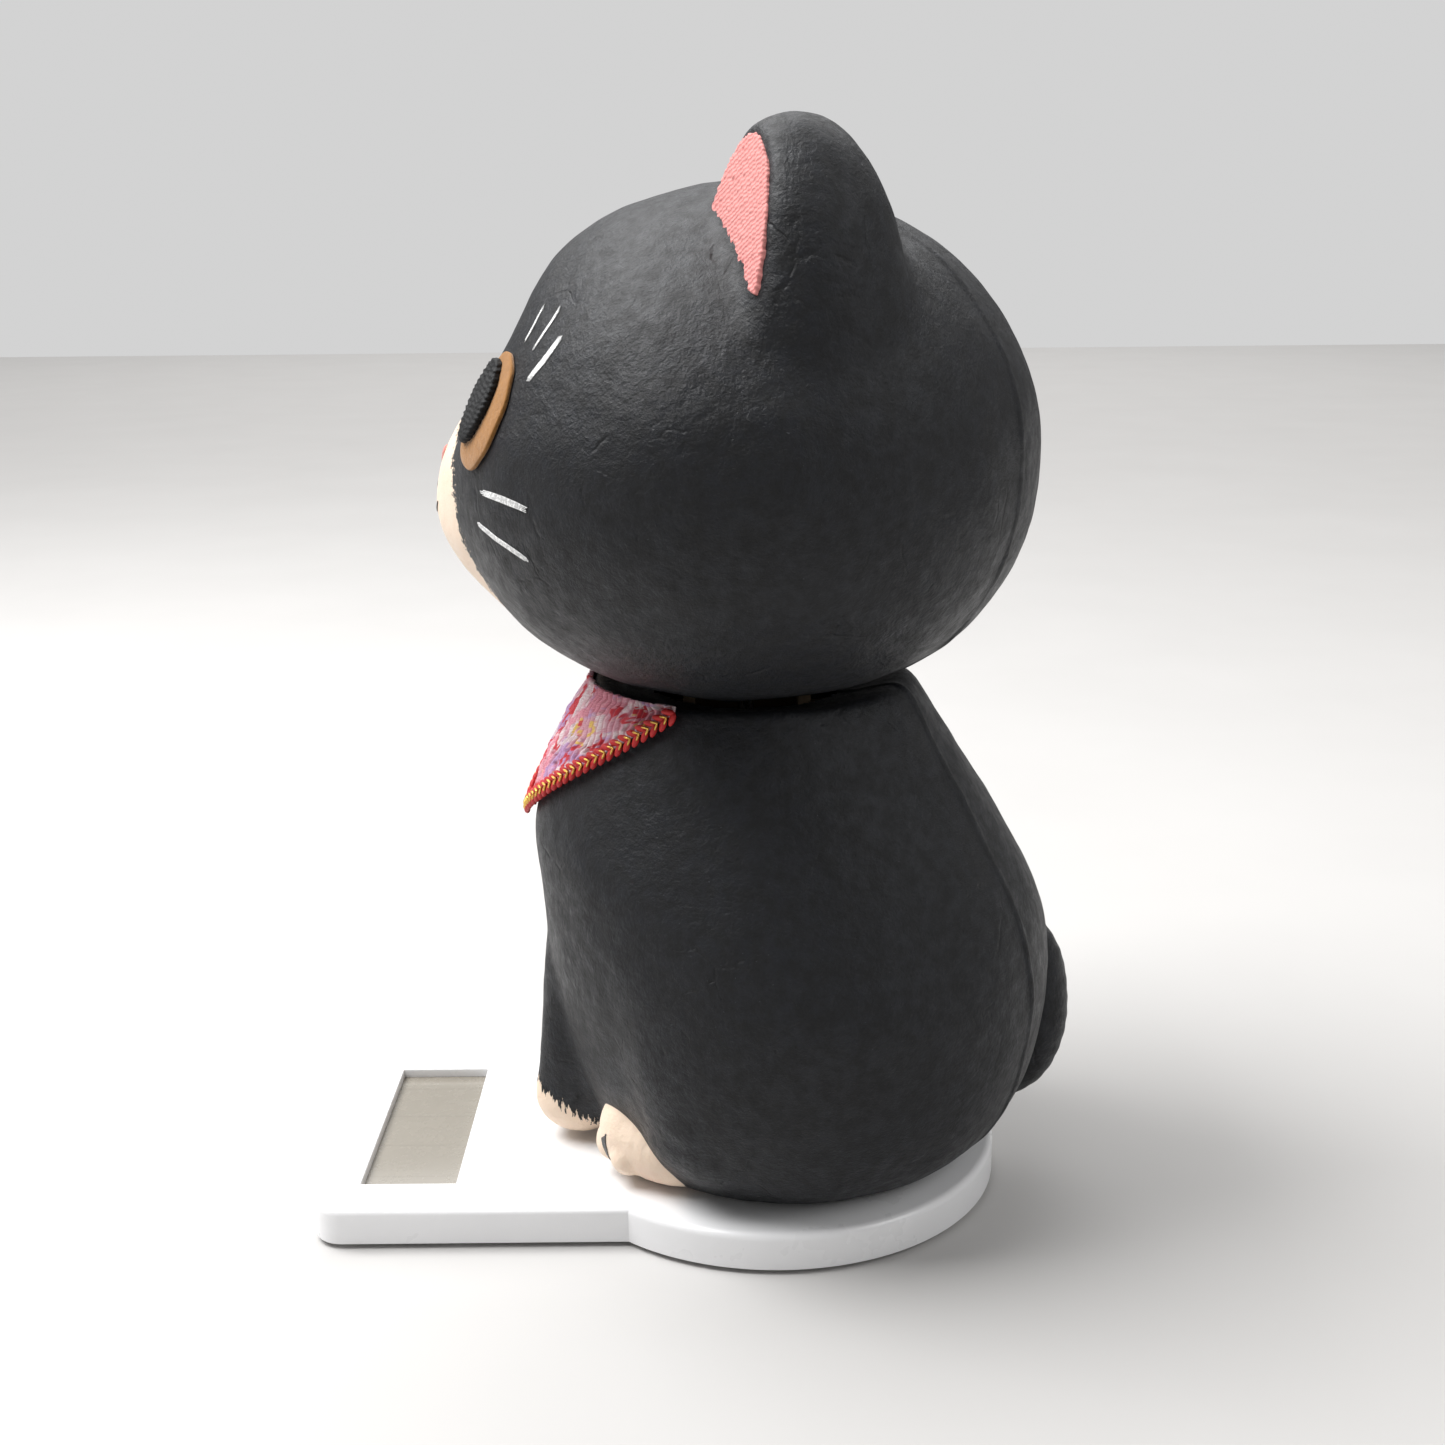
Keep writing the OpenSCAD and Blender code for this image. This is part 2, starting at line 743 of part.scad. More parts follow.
// Ear skin at turn a and climb s, from 0 on the head to 1 at the tip
ear_x = 23.5;
ear_y = 6.2;
ear_half_w = 13.2;
ear_half_d = 12.2;
ear_sink = 0.8;
function crown(x, y) = head_c * sqrt(max(1 - pow(x / head_a, 2) - pow(y / head_b, 2), 0.01));
function ear_point(a, s, out) =
  let (
    open = sqrt(1 - s), x = ear_x + (ear_half_w * open + out * open) * cos(a),
    y = ear_y + (ear_half_d * open + out * open) * sin(a),
    low = crown(x, y) - ear_sink)
  at_head(x, y, low + (ear_rise - low) * pow(s, 0.8) + out * s);

module left_ear() {
  cols = 24;
  rows = 6;
  last_ring = 0.94;
  color("darkslategray")
    dome_solid(function(i, j) ear_point(360 * i / cols, last_ring * j / rows, 0),
      function(i, j) ear_point(360 * i / cols, last_ring * j / rows, -paper_t),
      ear_point(0, 1, 0), ear_point(0, 1, -paper_t), cols, rows);
}

module right_ear() {
  mirror([1, 0, 0])
    left_ear();
}

// A pointed oval of crepe on the front of the ear, turned a little outwards
module left_ear_lining() {
  middle_h = 0.5;
  half_h = 0.42;
  middle_turn = -72;
  half_turn = 42;
  narrowing = 0.3;
  leaf = function(r, a, out)
    let (high = middle_h + half_h * r * sin(a), wide = half_turn * (1.15 - narrowing * high))
    ear_point(middle_turn + wide * r * cos(a), high, out);
  color("lightpink")
    patch(leaf, 0.1, 0.9);
}

module right_ear_lining() {
  mirror([1, 0, 0])
    left_ear_lining();
}

eye_half_turn = 10;
eye_half_rise = 12.4;
pupil_in = 2;
pupil_up = 1;
pupil_half_turn = 6.8;
pupil_half_rise = 9;

module left_eye() {
  color("goldenrod")
    patch(function(r, a, out) face_oval(eye_turn, eye_rise, eye_half_turn, eye_half_rise, r, a, out),
      0.1, 0.8);
}

module right_eye() {
  mirror([1, 0, 0])
    left_eye();
}

module left_pupil() {
  color("black")
    patch(function(r, a, out) face_oval(eye_turn - pupil_in, eye_rise + pupil_up, pupil_half_turn,
      pupil_half_rise, r, a, out), 0.85, 1.5);
}

module right_pupil() {
  mirror([1, 0, 0])
    left_pupil();
}

// The cream muzzle: a soft pad from under the eyes to the chin
module muzzle() {
  middle_rise = -17;
  half_rise = 21;
  half_turn = 19;
  narrowing = 3;
  rim_out = 0.5;
  pad = function(r, a, out)
    let (
      wide = half_turn - narrowing * sin(a),
      bulge = rim_out + (out - rim_out) * sqrt(max(1 - 0.8 * r * r, 0)))
    head_point(-90 + wide * r * cos(a), middle_rise + half_rise * r * sin(a), out > 1 ? bulge : out);
  color("bisque")
    patch(pad, 0.1, 1.8);
}

module nose() {
  color("lightpink")
    patch(function(r, a, out) head_point(-90 + 3.4 * r * cos(a), -2 + 3 * r * sin(a), out),
      1.9, 2.6, rings = 2, sides = 16);
}

base_shell();
base_plate();
rubber_feet();
base_screws();
solar_cell();
cell_tape();
drive_coil();
coil_bobbin();
circuit_board();
driver_chip();
storage_capacitor();
cell_wires();
coil_wires();
stage_tape();
body_front_shell();
body_back_panel();
bottom_board();
left_foreleg();
right_raised_arm();
left_hind_foot();
right_hind_foot();
tail();
bib();
bib_braid();
neck_frame();
gimbal_ring();
sway_pins();
nod_pin();
pivot_block();
pendulum_rod();
counterweight();
drive_magnet();
head_cup();
head_front_shell();
head_back_panel();
left_ear();
right_ear();
left_ear_lining();
right_ear_lining();
left_eye();
right_eye();
left_pupil();
right_pupil();
muzzle();
nose();
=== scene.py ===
# %% [markdown]
# # A papier-mache beckoning cat on a solar driven base
# The figure is a hollow paper cat. Its head sways on a pivot hidden in the neck, and a coil in the thin white
# base pushes a magnet that hangs inside the body. The CAD frame gives every size and place, so this script
# starts by loading it, and then makes each visible skin in the way that a maker would: a core is modelled,
# paper is laid over it, and the small cloth pieces are pasted on last.

# %% Load the frame
import math
import bmesh
import bpy
from mathutils import Matrix, Vector
from mathutils.noise import noise


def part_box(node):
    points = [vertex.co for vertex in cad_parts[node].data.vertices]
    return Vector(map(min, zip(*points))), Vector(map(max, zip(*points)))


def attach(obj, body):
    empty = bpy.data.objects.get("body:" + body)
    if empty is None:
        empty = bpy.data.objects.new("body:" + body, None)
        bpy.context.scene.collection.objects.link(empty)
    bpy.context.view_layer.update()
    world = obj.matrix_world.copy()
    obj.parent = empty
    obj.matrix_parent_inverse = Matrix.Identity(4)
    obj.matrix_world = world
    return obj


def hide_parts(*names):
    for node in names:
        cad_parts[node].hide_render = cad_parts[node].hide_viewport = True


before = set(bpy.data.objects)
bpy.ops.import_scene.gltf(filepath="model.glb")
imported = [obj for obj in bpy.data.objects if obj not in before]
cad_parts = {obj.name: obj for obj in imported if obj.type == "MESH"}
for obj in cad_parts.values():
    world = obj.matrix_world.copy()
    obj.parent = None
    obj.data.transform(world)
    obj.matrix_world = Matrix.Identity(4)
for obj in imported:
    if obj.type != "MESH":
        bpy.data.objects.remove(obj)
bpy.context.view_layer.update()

# %% [markdown]
# Blender works in metres, and a figure of this size is easier to think about in millimetres. So the measures
# below are millimetres, and one helper turns a place in millimetres into metres. The places come from the
# boxes of the CAD nodes: the neck's axis from the round cup in the head, the underside from the body shell.

# %% Places that the other steps use
MM = 0.001


def box_mm(node):
    low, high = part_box(node)
    return [1000 * v for v in low], [1000 * v for v in high]


cup_low, cup_high = box_mm("head_cup")
NECK_Y = (cup_low[1] + cup_high[1]) / 2
STAGE_Y = NECK_Y + 3.4
CAT_Z = box_mm("body_front_shell")[0][2]
BASE_TOP = box_mm("base_shell")[1][2]
BASE_LOW = box_mm("base_shell")[0][2]
HEAD_A = 40.0
HEAD_B = 36.3
HEAD_C = 31.8
HEAD_LOW = 30.3
HEAD_Z = box_mm("head_front_shell")[1][2] - HEAD_C
PAPER = 1.6
print("neck axis y", round(NECK_Y, 2), " underside z", round(CAT_Z, 2), " head middle z", round(HEAD_Z, 2))


def at(x, y, z):
    return Vector((x * MM, y * MM, z * MM))


# %% [markdown]
# Blender's operators act on whatever is selected, and loading the frame leaves every CAD node selected. These
# helpers clear the selection first, enter edit mode on one object, and pick faces, edges or points by a test
# on their place. They keep the later cells short, and they are the same steps as clicking by hand.

# %% Selecting and applying
def only(obj):
    if bpy.context.object and bpy.context.object.mode != "OBJECT":
        bpy.ops.object.mode_set(mode="OBJECT")
    bpy.ops.object.select_all(action="DESELECT")
    obj.select_set(True)
    bpy.context.view_layer.objects.active = obj
    return obj


def edit(obj):
    only(obj)
    bpy.ops.object.mode_set(mode="EDIT")
    bpy.ops.mesh.select_all(action="SELECT")


def done():
    bpy.ops.object.mode_set(mode="OBJECT")


def pick(obj, kind, test):
    """In edit mode: selects the points, edges or faces whose place, in mm, passes the test."""
    bpy.ops.mesh.select_mode(type=kind)
    bpy.ops.mesh.select_all(action="DESELECT")
    mesh = bmesh.from_edit_mesh(obj.data)
    for part in {"VERT": mesh.verts, "EDGE": mesh.edges, "FACE": mesh.faces}[kind]:
        points = [part.co] if kind == "VERT" else [v.co for v in part.verts]
        if all(test(p / MM) for p in points):
            part.select_set(True)
    bmesh.update_edit_mesh(obj.data)


def settle(obj, name=None):
    """Writes the object's place, turn and size into its mesh."""
    only(obj)
    bpy.ops.object.transform_apply(location=True, rotation=True, scale=True)
    if name:
        obj.name = name
        obj.data.name = name
    return obj


def add_modifier(obj, kind, **values):
    only(obj)
    modifier = obj.modifiers.new(kind.title(), kind)
    for key, value in values.items():
        setattr(modifier, key, value)
    bpy.ops.object.modifier_apply(modifier=modifier.name)
    return obj


def copy_of(obj, name):
    twin = obj.copy()
    twin.data = obj.data.copy()
    twin.name = twin.data.name = name
    bpy.context.scene.collection.objects.link(twin)
    return twin


def joined(name, *parts):
    only(parts[0])
    parts[0].name = parts[0].data.name = name
    if len(parts) == 1:
        return parts[0]
    for part in parts[1:]:
        part.select_set(True)
    bpy.ops.object.join()
    return parts[0]


def ball(name, centre, radii, segments=32, rings=20):
    bpy.ops.mesh.primitive_uv_sphere_add(segments=segments, ring_count=rings, radius=MM, location=at(*centre))
    obj = bpy.context.object
    obj.scale = radii
    return settle(obj, name)


def moved(obj, rule):
    """Sculpts: moves every point of the mesh by a rule on its place, in mm."""
    for v in obj.data.vertices:
        v.co = rule(v.co / MM) * MM
    obj.data.update()
    return obj


def remesh(obj, voxel, smooth):
    """Fuses overlapping lumps into one skin and rubs it smooth, as wet paper does over a core."""
    only(obj)
    obj.data.remesh_voxel_size = voxel * MM
    obj.data.use_remesh_fix_poles = False
    bpy.ops.object.voxel_remesh()
    add_modifier(obj, "SMOOTH", factor=0.5, iterations=smooth)
    return obj


def cut(obj, tool, operation="DIFFERENCE"):
    add_modifier(obj, "BOOLEAN", object=tool, operation=operation, solver="EXACT")
    return obj


def drop(obj):
    bpy.data.objects.remove(obj, do_unlink=True)


def smooth(obj, angle=40):
    only(obj)
    bpy.ops.object.shade_smooth_by_angle(angle=math.radians(angle))
    return obj


def tris(obj):
    return sum(len(p.vertices) - 2 for p in obj.data.polygons)


def finished(obj, body, slot, material, *nodes):
    """Gives a piece its finish, seats it on its body, and lets it stand for its CAD nodes."""
    if material:
        obj.data.materials.clear()
        obj.data.materials.append(material)
    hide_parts(*nodes)
    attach(obj, body)
    print(f"{obj.name}: {tris(obj)} triangles, for {', '.join(nodes)}")
    return obj


# %% [markdown]
# ## Finishes
# Each material is built from a few nodes. Patterns read Object coordinates, which stay with the piece when it
# moves, and a Mapping node turns metres into millimetres, so that a noise scale of 1 means about one
# wrinkle a millimetre. The first helper makes an empty material, and the next ones add a noise or a bump.

# %% Node helpers
class Finish:
    """A material under construction: keeps its nodes and links short to write."""

    def __init__(self, name, **sockets):
        self.material = bpy.data.materials.new(name)
        self.material.use_nodes = True
        self.tree = self.material.node_tree
        self.shader = self.tree.nodes["Principled BSDF"]
        for key, value in sockets.items():
            self.shader.inputs[key.replace("_", " ").title().replace("Ior", "IOR")].default_value = value
        self.bump_end = None

    def node(self, kind, **sockets):
        node = self.tree.nodes.new(kind)
        for key, value in sockets.items():
            node.inputs[key.replace("_", " ").title()].default_value = value
        return node

    def link(self, out, into):
        self.tree.links.new(out, into)

    def place(self, scale=(1, 1, 1), source="Object"):
        coords = self.tree.nodes.new("ShaderNodeTexCoord")
        mapping = self.node("ShaderNodeMapping")
        factor = 1 / MM if source == "Object" else 1
        mapping.inputs["Scale"].default_value = [factor * s for s in scale]
        self.link(coords.outputs[source], mapping.inputs["Vector"])
        return mapping.outputs["Vector"]

    def noise(self, where, scale, detail=4, roughness=0.6, distortion=0.0):
        node = self.node("ShaderNodeTexNoise", scale=scale, detail=detail, roughness=roughness,
                         distortion=distortion)
        self.link(where, node.inputs["Vector"])
        return node.outputs["Fac"]

    def cracks(self, where, scale, warp):
        """Thin lines between cells, bent by a noise, as where stiff paper has creased."""
        bend = self.node("ShaderNodeTexNoise", scale=scale * 0.9, detail=3)
        self.link(where, bend.inputs["Vector"])
        mix = self.node("ShaderNodeVectorMath")
        mix.operation = "MULTIPLY_ADD"
        mix.inputs[1].default_value = (warp, warp, warp)
        self.link(bend.outputs["Color"], mix.inputs[0])
        self.link(where, mix.inputs[2])
        cells = self.tree.nodes.new("ShaderNodeTexVoronoi")
        cells.feature = "DISTANCE_TO_EDGE"
        cells.inputs["Scale"].default_value = scale
        self.link(mix.outputs["Vector"], cells.inputs["Vector"])
        return cells.outputs["Distance"]

    def ramp(self, value, *stops, ease="EASE"):
        """Colours or greys at places from 0 to 1: ramp(value, (0.2, colour), (0.6, colour))."""
        node = self.tree.nodes.new("ShaderNodeValToRGB")
        node.color_ramp.interpolation = ease
        points = node.color_ramp.elements
        while len(points) < len(stops):
            points.new(0.5)
        for point, (spot, colour) in zip(points, sorted(stops, key=lambda s: s[0])):
            point.position = spot
            point.color = (*colour, 1) if hasattr(colour, "__len__") else (colour, colour, colour, 1)
        self.link(value, node.inputs["Fac"])
        return node.outputs["Color"]

    def math(self, operation, a, b, c=None):
        node = self.tree.nodes.new("ShaderNodeMath")
        node.operation = operation
        for spot, value in enumerate(v for v in (a, b, c) if v is not None):
            if isinstance(value, (int, float)):
                node.inputs[spot].default_value = value
            else:
                self.link(value, node.inputs[spot])
        return node.outputs["Value"]

    def mix(self, amount, first, second, blend="MIX"):
        node = self.tree.nodes.new("ShaderNodeMix")
        node.data_type = "RGBA"
        node.blend_type = blend
        for socket, value in ((node.inputs["Factor"], amount), (node.inputs[6], first), (node.inputs[7], second)):
            if hasattr(value, "is_linked"):
                self.link(value, socket)
            else:
                socket.default_value = value if isinstance(value, (int, float)) else (*value, 1)
        return node.outputs[2]

    def bump(self, height, depth, strength=1.0):
        """Adds a relief, depth in mm, on top of the reliefs that are already there."""
        node = self.node("ShaderNodeBump", strength=strength, distance=depth * MM)
        self.link(height, node.inputs["Height"])
        if self.bump_end:
            self.link(self.bump_end, node.inputs["Normal"])
        self.bump_end = node.outputs["Normal"]
        self.link(self.bump_end, self.shader.inputs["Normal"])

    def colour(self, out):
        self.link(out, self.shader.inputs["Base Color"])

    def rough(self, out):
        self.link(out, self.shader.inputs["Roughness"])


# %% [markdown]
# ### Charcoal washi
# The cat is covered in torn sheets of handmade paper, dyed black. Washi has long mulberry fibres, so it isn't
# even: it is mottled, it creases where it is pressed round a curve, and its dry surface has a soft sheen. A
# broad noise makes the mottling, warped cells make the creases, and a fine stretched noise makes the fibres.
# The colour is also darkened along the crease lines, as painted shade in the creases.

# %% Charcoal paper
CHARCOAL_DEEP = (0.0022, 0.0025, 0.0036)
CHARCOAL_WORN = (0.0065, 0.0078, 0.0115)
CREAM = (0.80, 0.62, 0.47)
BLUSH = (0.72, 0.33, 0.24)


def paper_relief(finish, crease=1.0):
    where = finish.place()
    patches = finish.ramp(finish.noise(where, 0.07, 4, 0.7), (0.52, 0.0), (0.64, 1.0))
    broken = finish.ramp(finish.noise(where, 0.35, 3), (0.42, 0.0), (0.55, 1.0))
    cracks = finish.ramp(finish.cracks(where, 0.13, 7.0), (0.0, 0.0), (0.045, 1.0))
    # the crease lines serve as relief, and in the colour as painted shade in the creases
    crease_lines_and_shade = finish.mix(finish.math("MULTIPLY", patches, broken), (1, 1, 1), cracks)
    finish.bump(crease_lines_and_shade, 0.10 * crease)
    finish.bump(finish.noise(where, 0.45, 6, 0.7), 0.34 * crease)
    finish.bump(finish.noise(where, 2.2, 4, 0.7), 0.09)
    fibres = finish.noise(finish.place((1, 0.25, 0.5)), 3.6, 4, 0.75, 0.6)
    finish.bump(fibres, 0.05)
    return where, crease_lines_and_shade, fibres


def charcoal_colour(finish, where, crease_lines_and_shade, fibres):
    """Mottled black with paler fibres and worn grains, painted shade along the crease lines, and a roughness that
    follows the mottling.
    """
    mottle = finish.noise(where, 0.5, 8, 0.72)
    base = finish.ramp(mottle, (0.35, CHARCOAL_DEEP), (0.70, CHARCOAL_WORN))
    worn = finish.mix(finish.ramp(fibres, (0.62, 0.0), (0.82, 0.35)), base, (0.03, 0.034, 0.042))
    grains = finish.ramp(finish.noise(where, 2.6, 2, 0.5), (0.74, 0.0), (0.80, 0.6))
    finish.rough(finish.ramp(mottle, (0.3, 0.58), (0.75, 0.36)))
    # the crease lines multiply the colour darker: painted shade in the creases
    return finish.mix(grains, finish.mix(0.35, worn, crease_lines_and_shade, "MULTIPLY"), (0.07, 0.075, 0.085))


CHARCOAL_SHADER = {"roughness": 0.5, "specular_ior_level": 0.34, "sheen_weight": 0.02, "sheen_roughness": 0.4}


def charcoal_paper(name="charcoal_washi"):
    finish = Finish(name, **CHARCOAL_SHADER)
    finish.colour(charcoal_colour(finish, *paper_relief(finish)))
    return finish.material


CHARCOAL = charcoal_paper()

# %% [markdown]
# ### The painted fore paw
# The paw is the same paper, painted cream, and the edge of the paint is drawn as fur with short dry strokes.
# A plane that slopes down and back over the paw gives the edge. Adding a noise that is stretched along the
# leg turns the straight edge into strokes.

# %% Charcoal paper with a cream paw
def painted_paw(name, edge_mm, slope, middle, half_width, up=1):
    """Cream where up * z + slope * y is under the edge, within half_width of x = middle."""
    finish = Finish(name, **CHARCOAL_SHADER)
    where, crease_lines_and_shade, fibres = paper_relief(finish)
    black = charcoal_colour(finish, where, crease_lines_and_shade, fibres)
    xyz = finish.tree.nodes.new("ShaderNodeSeparateXYZ")
    finish.link(where, xyz.inputs["Vector"])
    strokes = finish.noise(finish.place((2.6, 2.6, 0.42)), 1.0, 3, 0.6)
    height = finish.math("MULTIPLY_ADD", xyz.outputs["Y"], slope, finish.math("MULTIPLY", xyz.outputs["Z"], up))
    ragged = finish.math("MULTIPLY_ADD", strokes, 6.0, height)
    far = finish.math("MULTIPLY", finish.math("MAXIMUM", finish.math("SUBTRACT",
                      finish.math("ABSOLUTE", finish.math("SUBTRACT", xyz.outputs["X"], middle), 0), half_width), 0), 4.0)
    level = finish.math("SUBTRACT", edge_mm + 3.0, finish.math("ADD", ragged, far))
    mask = finish.ramp(finish.math("MULTIPLY_ADD", level, 1.6, 0.5), (0.35, 0.0), (0.65, 1.0))
    cream = finish.mix(finish.noise(where, 0.35, 3), CREAM, (0.86, 0.70, 0.56))
    finish.colour(finish.mix(mask, black, cream))
    return finish.material


# %% [markdown]
# ## The white base
# The base is one flat moulding: a round stage that runs into a rectangular panel. It is made as by hand, from
# a cylinder and a cube that are fused, hollowed from below by a smaller copy, and cut for the window. Only then
# are the top edges picked by their height and bevelled, because a bevel made before the cut would be lost.

# %% Outline of the base as a solid
STAGE_R = 30
PANEL_HALF = 23.2
PANEL_FRONT = box_mm("base_shell")[0][1]
WALL = 1.3


def base_solid(name, inset, low, high):
    bpy.ops.mesh.primitive_cylinder_add(vertices=160, radius=(STAGE_R - inset) * MM, depth=(high - low) * MM,
                                        location=at(0, STAGE_Y, (low + high) / 2))
    stage = settle(bpy.context.object, name)
    front = PANEL_FRONT + inset
    bpy.ops.mesh.primitive_cube_add(size=1, location=at(0, (front + STAGE_Y) / 2, (low + high) / 2))
    panel = bpy.context.object
    panel.scale = (2 * (PANEL_HALF - inset) * MM, (STAGE_Y - front) * MM, (high - low) * MM)
    settle(panel, name + "_panel")
    edit(panel)
    pick(panel, "EDGE", lambda p: p.y < front + 0.1)
    mesh = bmesh.from_edit_mesh(panel.data)
    for edge in mesh.edges:
        rise = abs(edge.verts[0].co.z - edge.verts[1].co.z)
        edge.select_set(edge.select and rise > MM)
    bmesh.update_edit_mesh(panel.data)
    bpy.ops.mesh.bevel(offset=(4 - inset) * MM, segments=10, affect="EDGES")
    done()
    cut(stage, panel, "UNION")
    drop(panel)
    return stage


# %% Hollow shell with its window
cell_low, cell_high = box_mm("solar_cell")
window = [(-16.55, cell_low[1] + 0.8), (16.55, cell_high[1] - 0.8)]
base = base_solid("base_shell_moulding", 0, BASE_LOW, BASE_TOP)
edit(base)
pick(base, "VERT", lambda p: True)
bpy.ops.mesh.remove_doubles(threshold=0.02 * MM)
bpy.ops.mesh.dissolve_limited(angle_limit=math.radians(0.5))
pick(base, "EDGE", lambda p: p.z > BASE_TOP - 0.01)
bpy.ops.mesh.bevel(offset=0.95 * MM, segments=5, affect="EDGES", clamp_overlap=False)
done()
hollow = base_solid("base_hollow", WALL, BASE_LOW - 2, BASE_TOP - WALL)
cut(base, hollow)
drop(hollow)
bpy.ops.mesh.primitive_cube_add(size=1, location=at(0, (window[0][1] + window[1][1]) / 2, BASE_TOP))
opening = bpy.context.object
opening.scale = (2 * window[1][0] * MM, (window[1][1] - window[0][1]) * MM, 6 * MM)
cut(base, settle(opening))
drop(opening)
edit(base)
in_window = lambda p: abs(p.x) < 17 and window[0][1] - 0.1 < p.y < window[1][1] + 0.1 and p.z > BASE_TOP - 0.01
pick(base, "EDGE", in_window)
bpy.ops.mesh.bevel(offset=0.28 * MM, segments=3, affect="EDGES", clamp_overlap=False)
done()
smooth(base, 35)
print("base:", [round(1000 * v, 1) for v in base.dimensions])

# %% [markdown]
# The posts that take the screws stand inside the moulding. They are short tubes: a cylinder with a smaller one
# cut out of it, modelled once and copied to the other three places.

# %% Screw posts
screw_low, screw_high = box_mm("base_screws")
plate_top = box_mm("base_plate")[1][2]
posts = []
for x, y in ((18, STAGE_Y - 34), (-18, STAGE_Y - 34), (19, STAGE_Y + 15), (-19, STAGE_Y + 15)):
    if not posts:
        roof = BASE_TOP - WALL + 0.2
        bpy.ops.mesh.primitive_cylinder_add(vertices=32, radius=2.2 * MM, depth=(roof - plate_top) * MM,
                                            location=at(x, y, (roof + plate_top) / 2))
        post = settle(bpy.context.object, "post")
        bpy.ops.mesh.primitive_cylinder_add(vertices=24, radius=0.8 * MM, depth=4 * MM,
                                            location=at(x, y, plate_top - 0.2))
        drill = settle(bpy.context.object)
        cut(post, drill)
        drop(drill)
        posts.append(post)
        first = (x, y)
    else:
        posts.append(moved(copy_of(posts[0], "post"),
                           lambda p: p + Vector((x - first[0], y - first[1], 0))))
base = joined("base_shell_moulding", base, *posts)


# %% [markdown]
# ### White moulded plastic
# The base is a glossy white plastic with a very fine moulding texture. Pure white would burn out against a pale
# floor, so the colour stays a little under it, with a slow and faint variation in roughness from handling.

# %% White plastic
def white_plastic():
    finish = Finish("white_moulded_plastic", specular_ior_level=0.5, coat_weight=0.25, coat_roughness=0.12)
    where = finish.place()
    wear = finish.noise(where, 0.09, 4)
    finish.colour(finish.mix(wear, (0.86, 0.86, 0.865), (0.80, 0.80, 0.81)))
    finish.rough(finish.ramp(wear, (0.3, 0.24), (0.7, 0.38)))
    finish.bump(finish.noise(where, 5.0, 2), 0.012)
    return finish.material


WHITE = white_plastic()
finished(base, "root", "white_plastic", WHITE, "base_shell")

# %% [markdown]
# ## The body
# The body is a pear that leans back a little. By hand it is lofted: a circle is pulled into the oval of the
# underside, and then extruded up one station at a time, each time resized and shifted, and in over the lip that
# runs under the head. The fore leg and the thighs are lumps that are added to the core, so that one skin of
# paper goes over all of it, as on the real figure.

# %% Curves through a few stations
def cubic(p, q, r, s, t):
    return 0.5 * (2 * q + (r - p) * t + (2 * p - 5 * q + 4 * r - s) * t * t + (3 * q - p - 3 * r + s) * t ** 3)


def along(stations, s):
    """Smooth curve through the stations, where s counts them from 0."""
    last = len(stations) - 1
    i = min(int(s), last - 1)
    rows = [stations[max(i - 1, 0)], stations[i], stations[i + 1], stations[min(i + 2, last)]]
    return [cubic(*(row[k] for row in rows), s - i) for k in range(len(stations[0]))]


def head_point(turn, rise, out=0.0):
    """Point on the head's skin at a turn round the neck and a rise above its middle, moved out by out."""
    s = math.sin(rise)
    power = 2.3 if s < 0 else 2
    k = max(1 - abs(s) ** power, 0) ** (1 / power)
    up = (HEAD_LOW if s < 0 else HEAD_C) * s
    dip = 4.1 * max(-math.sin(turn), 0) ** 2 * math.exp(-((up - 13.6) / 8) ** 2 / 2)
    push = out * math.cos(rise)
    return Vector(((HEAD_A * k + push) * math.cos(turn), NECK_Y + (HEAD_B * k + push) * math.sin(turn) + dip,
                   HEAD_Z + up + out * s))


# %% Stations of the body
# height above the underside, then front, back and half width about the stage's centre
OUTER = [(0, -21, 25, 23.5), (1.5, -22.8, 27.6, 25.6), (6, -25.2, 31.5, 29.6), (14, -28, 35.2, 33),
         (26, -29.8, 36.5, 34), (36, -30.6, 34.2, 32), (44, -31.4, 30, 29), (52, -29.3, 24.9, 25.4),
         (58, -26.2, 21.2, 23.2), (62.7, -23.2, 18.2, 21.4)]
NECK_GAP = 1.1
STEPS = 4


def lip_station(rise):
    """Oval that runs under the head, a gap away from it."""
    gap = NECK_GAP + 0.4
    side = head_point(0, math.radians(rise), gap)
    deep = HEAD_B / HEAD_A * (side.x - gap) + gap
    shift = NECK_Y - STAGE_Y
    return (side.z - CAT_Z, shift - deep, shift + deep, side.x)


skin_stations = [along(OUTER, i / STEPS) for i in range(STEPS * (len(OUTER) - 1) + 1)]
skin_stations += [lip_station(rise) for rise in (-64, -68, -72, -75)]
print(len(skin_stations), "stations, from", skin_stations[0][0], "to", round(skin_stations[-1][0], 1), "mm up")


# %% Loft of the core
def lofted(name, stations, sides=96):
    """Extrudes a circle through the stations, as by hand, and closes both ends."""
    h, f, b, w = stations[0]
    bpy.ops.mesh.primitive_circle_add(vertices=sides, radius=MM, fill_type="NGON",
                                      location=at(0, STAGE_Y + (f + b) / 2, CAT_Z + h))
    obj = bpy.context.object
    obj.scale = (w, (b - f) / 2, 1)
    settle(obj, name)
    edit(obj)
    for (h0, f0, b0, w0), (h1, f1, b1, w1) in zip(stations, stations[1:]):
        slide = at(0, (f1 + b1 - f0 - b0) / 2, h1 - h0)
        bpy.ops.mesh.extrude_region_move(TRANSFORM_OT_translate={"value": slide})
        bpy.ops.transform.resize(value=(w1 / w0, (b1 - f1) / (b0 - f0), 1),
                                 center_override=at(0, STAGE_Y + (f1 + b1) / 2, CAT_Z + h1))
    bpy.ops.mesh.select_all(action="SELECT")
    bpy.ops.mesh.normals_make_consistent(inside=False)
    done()
    return obj


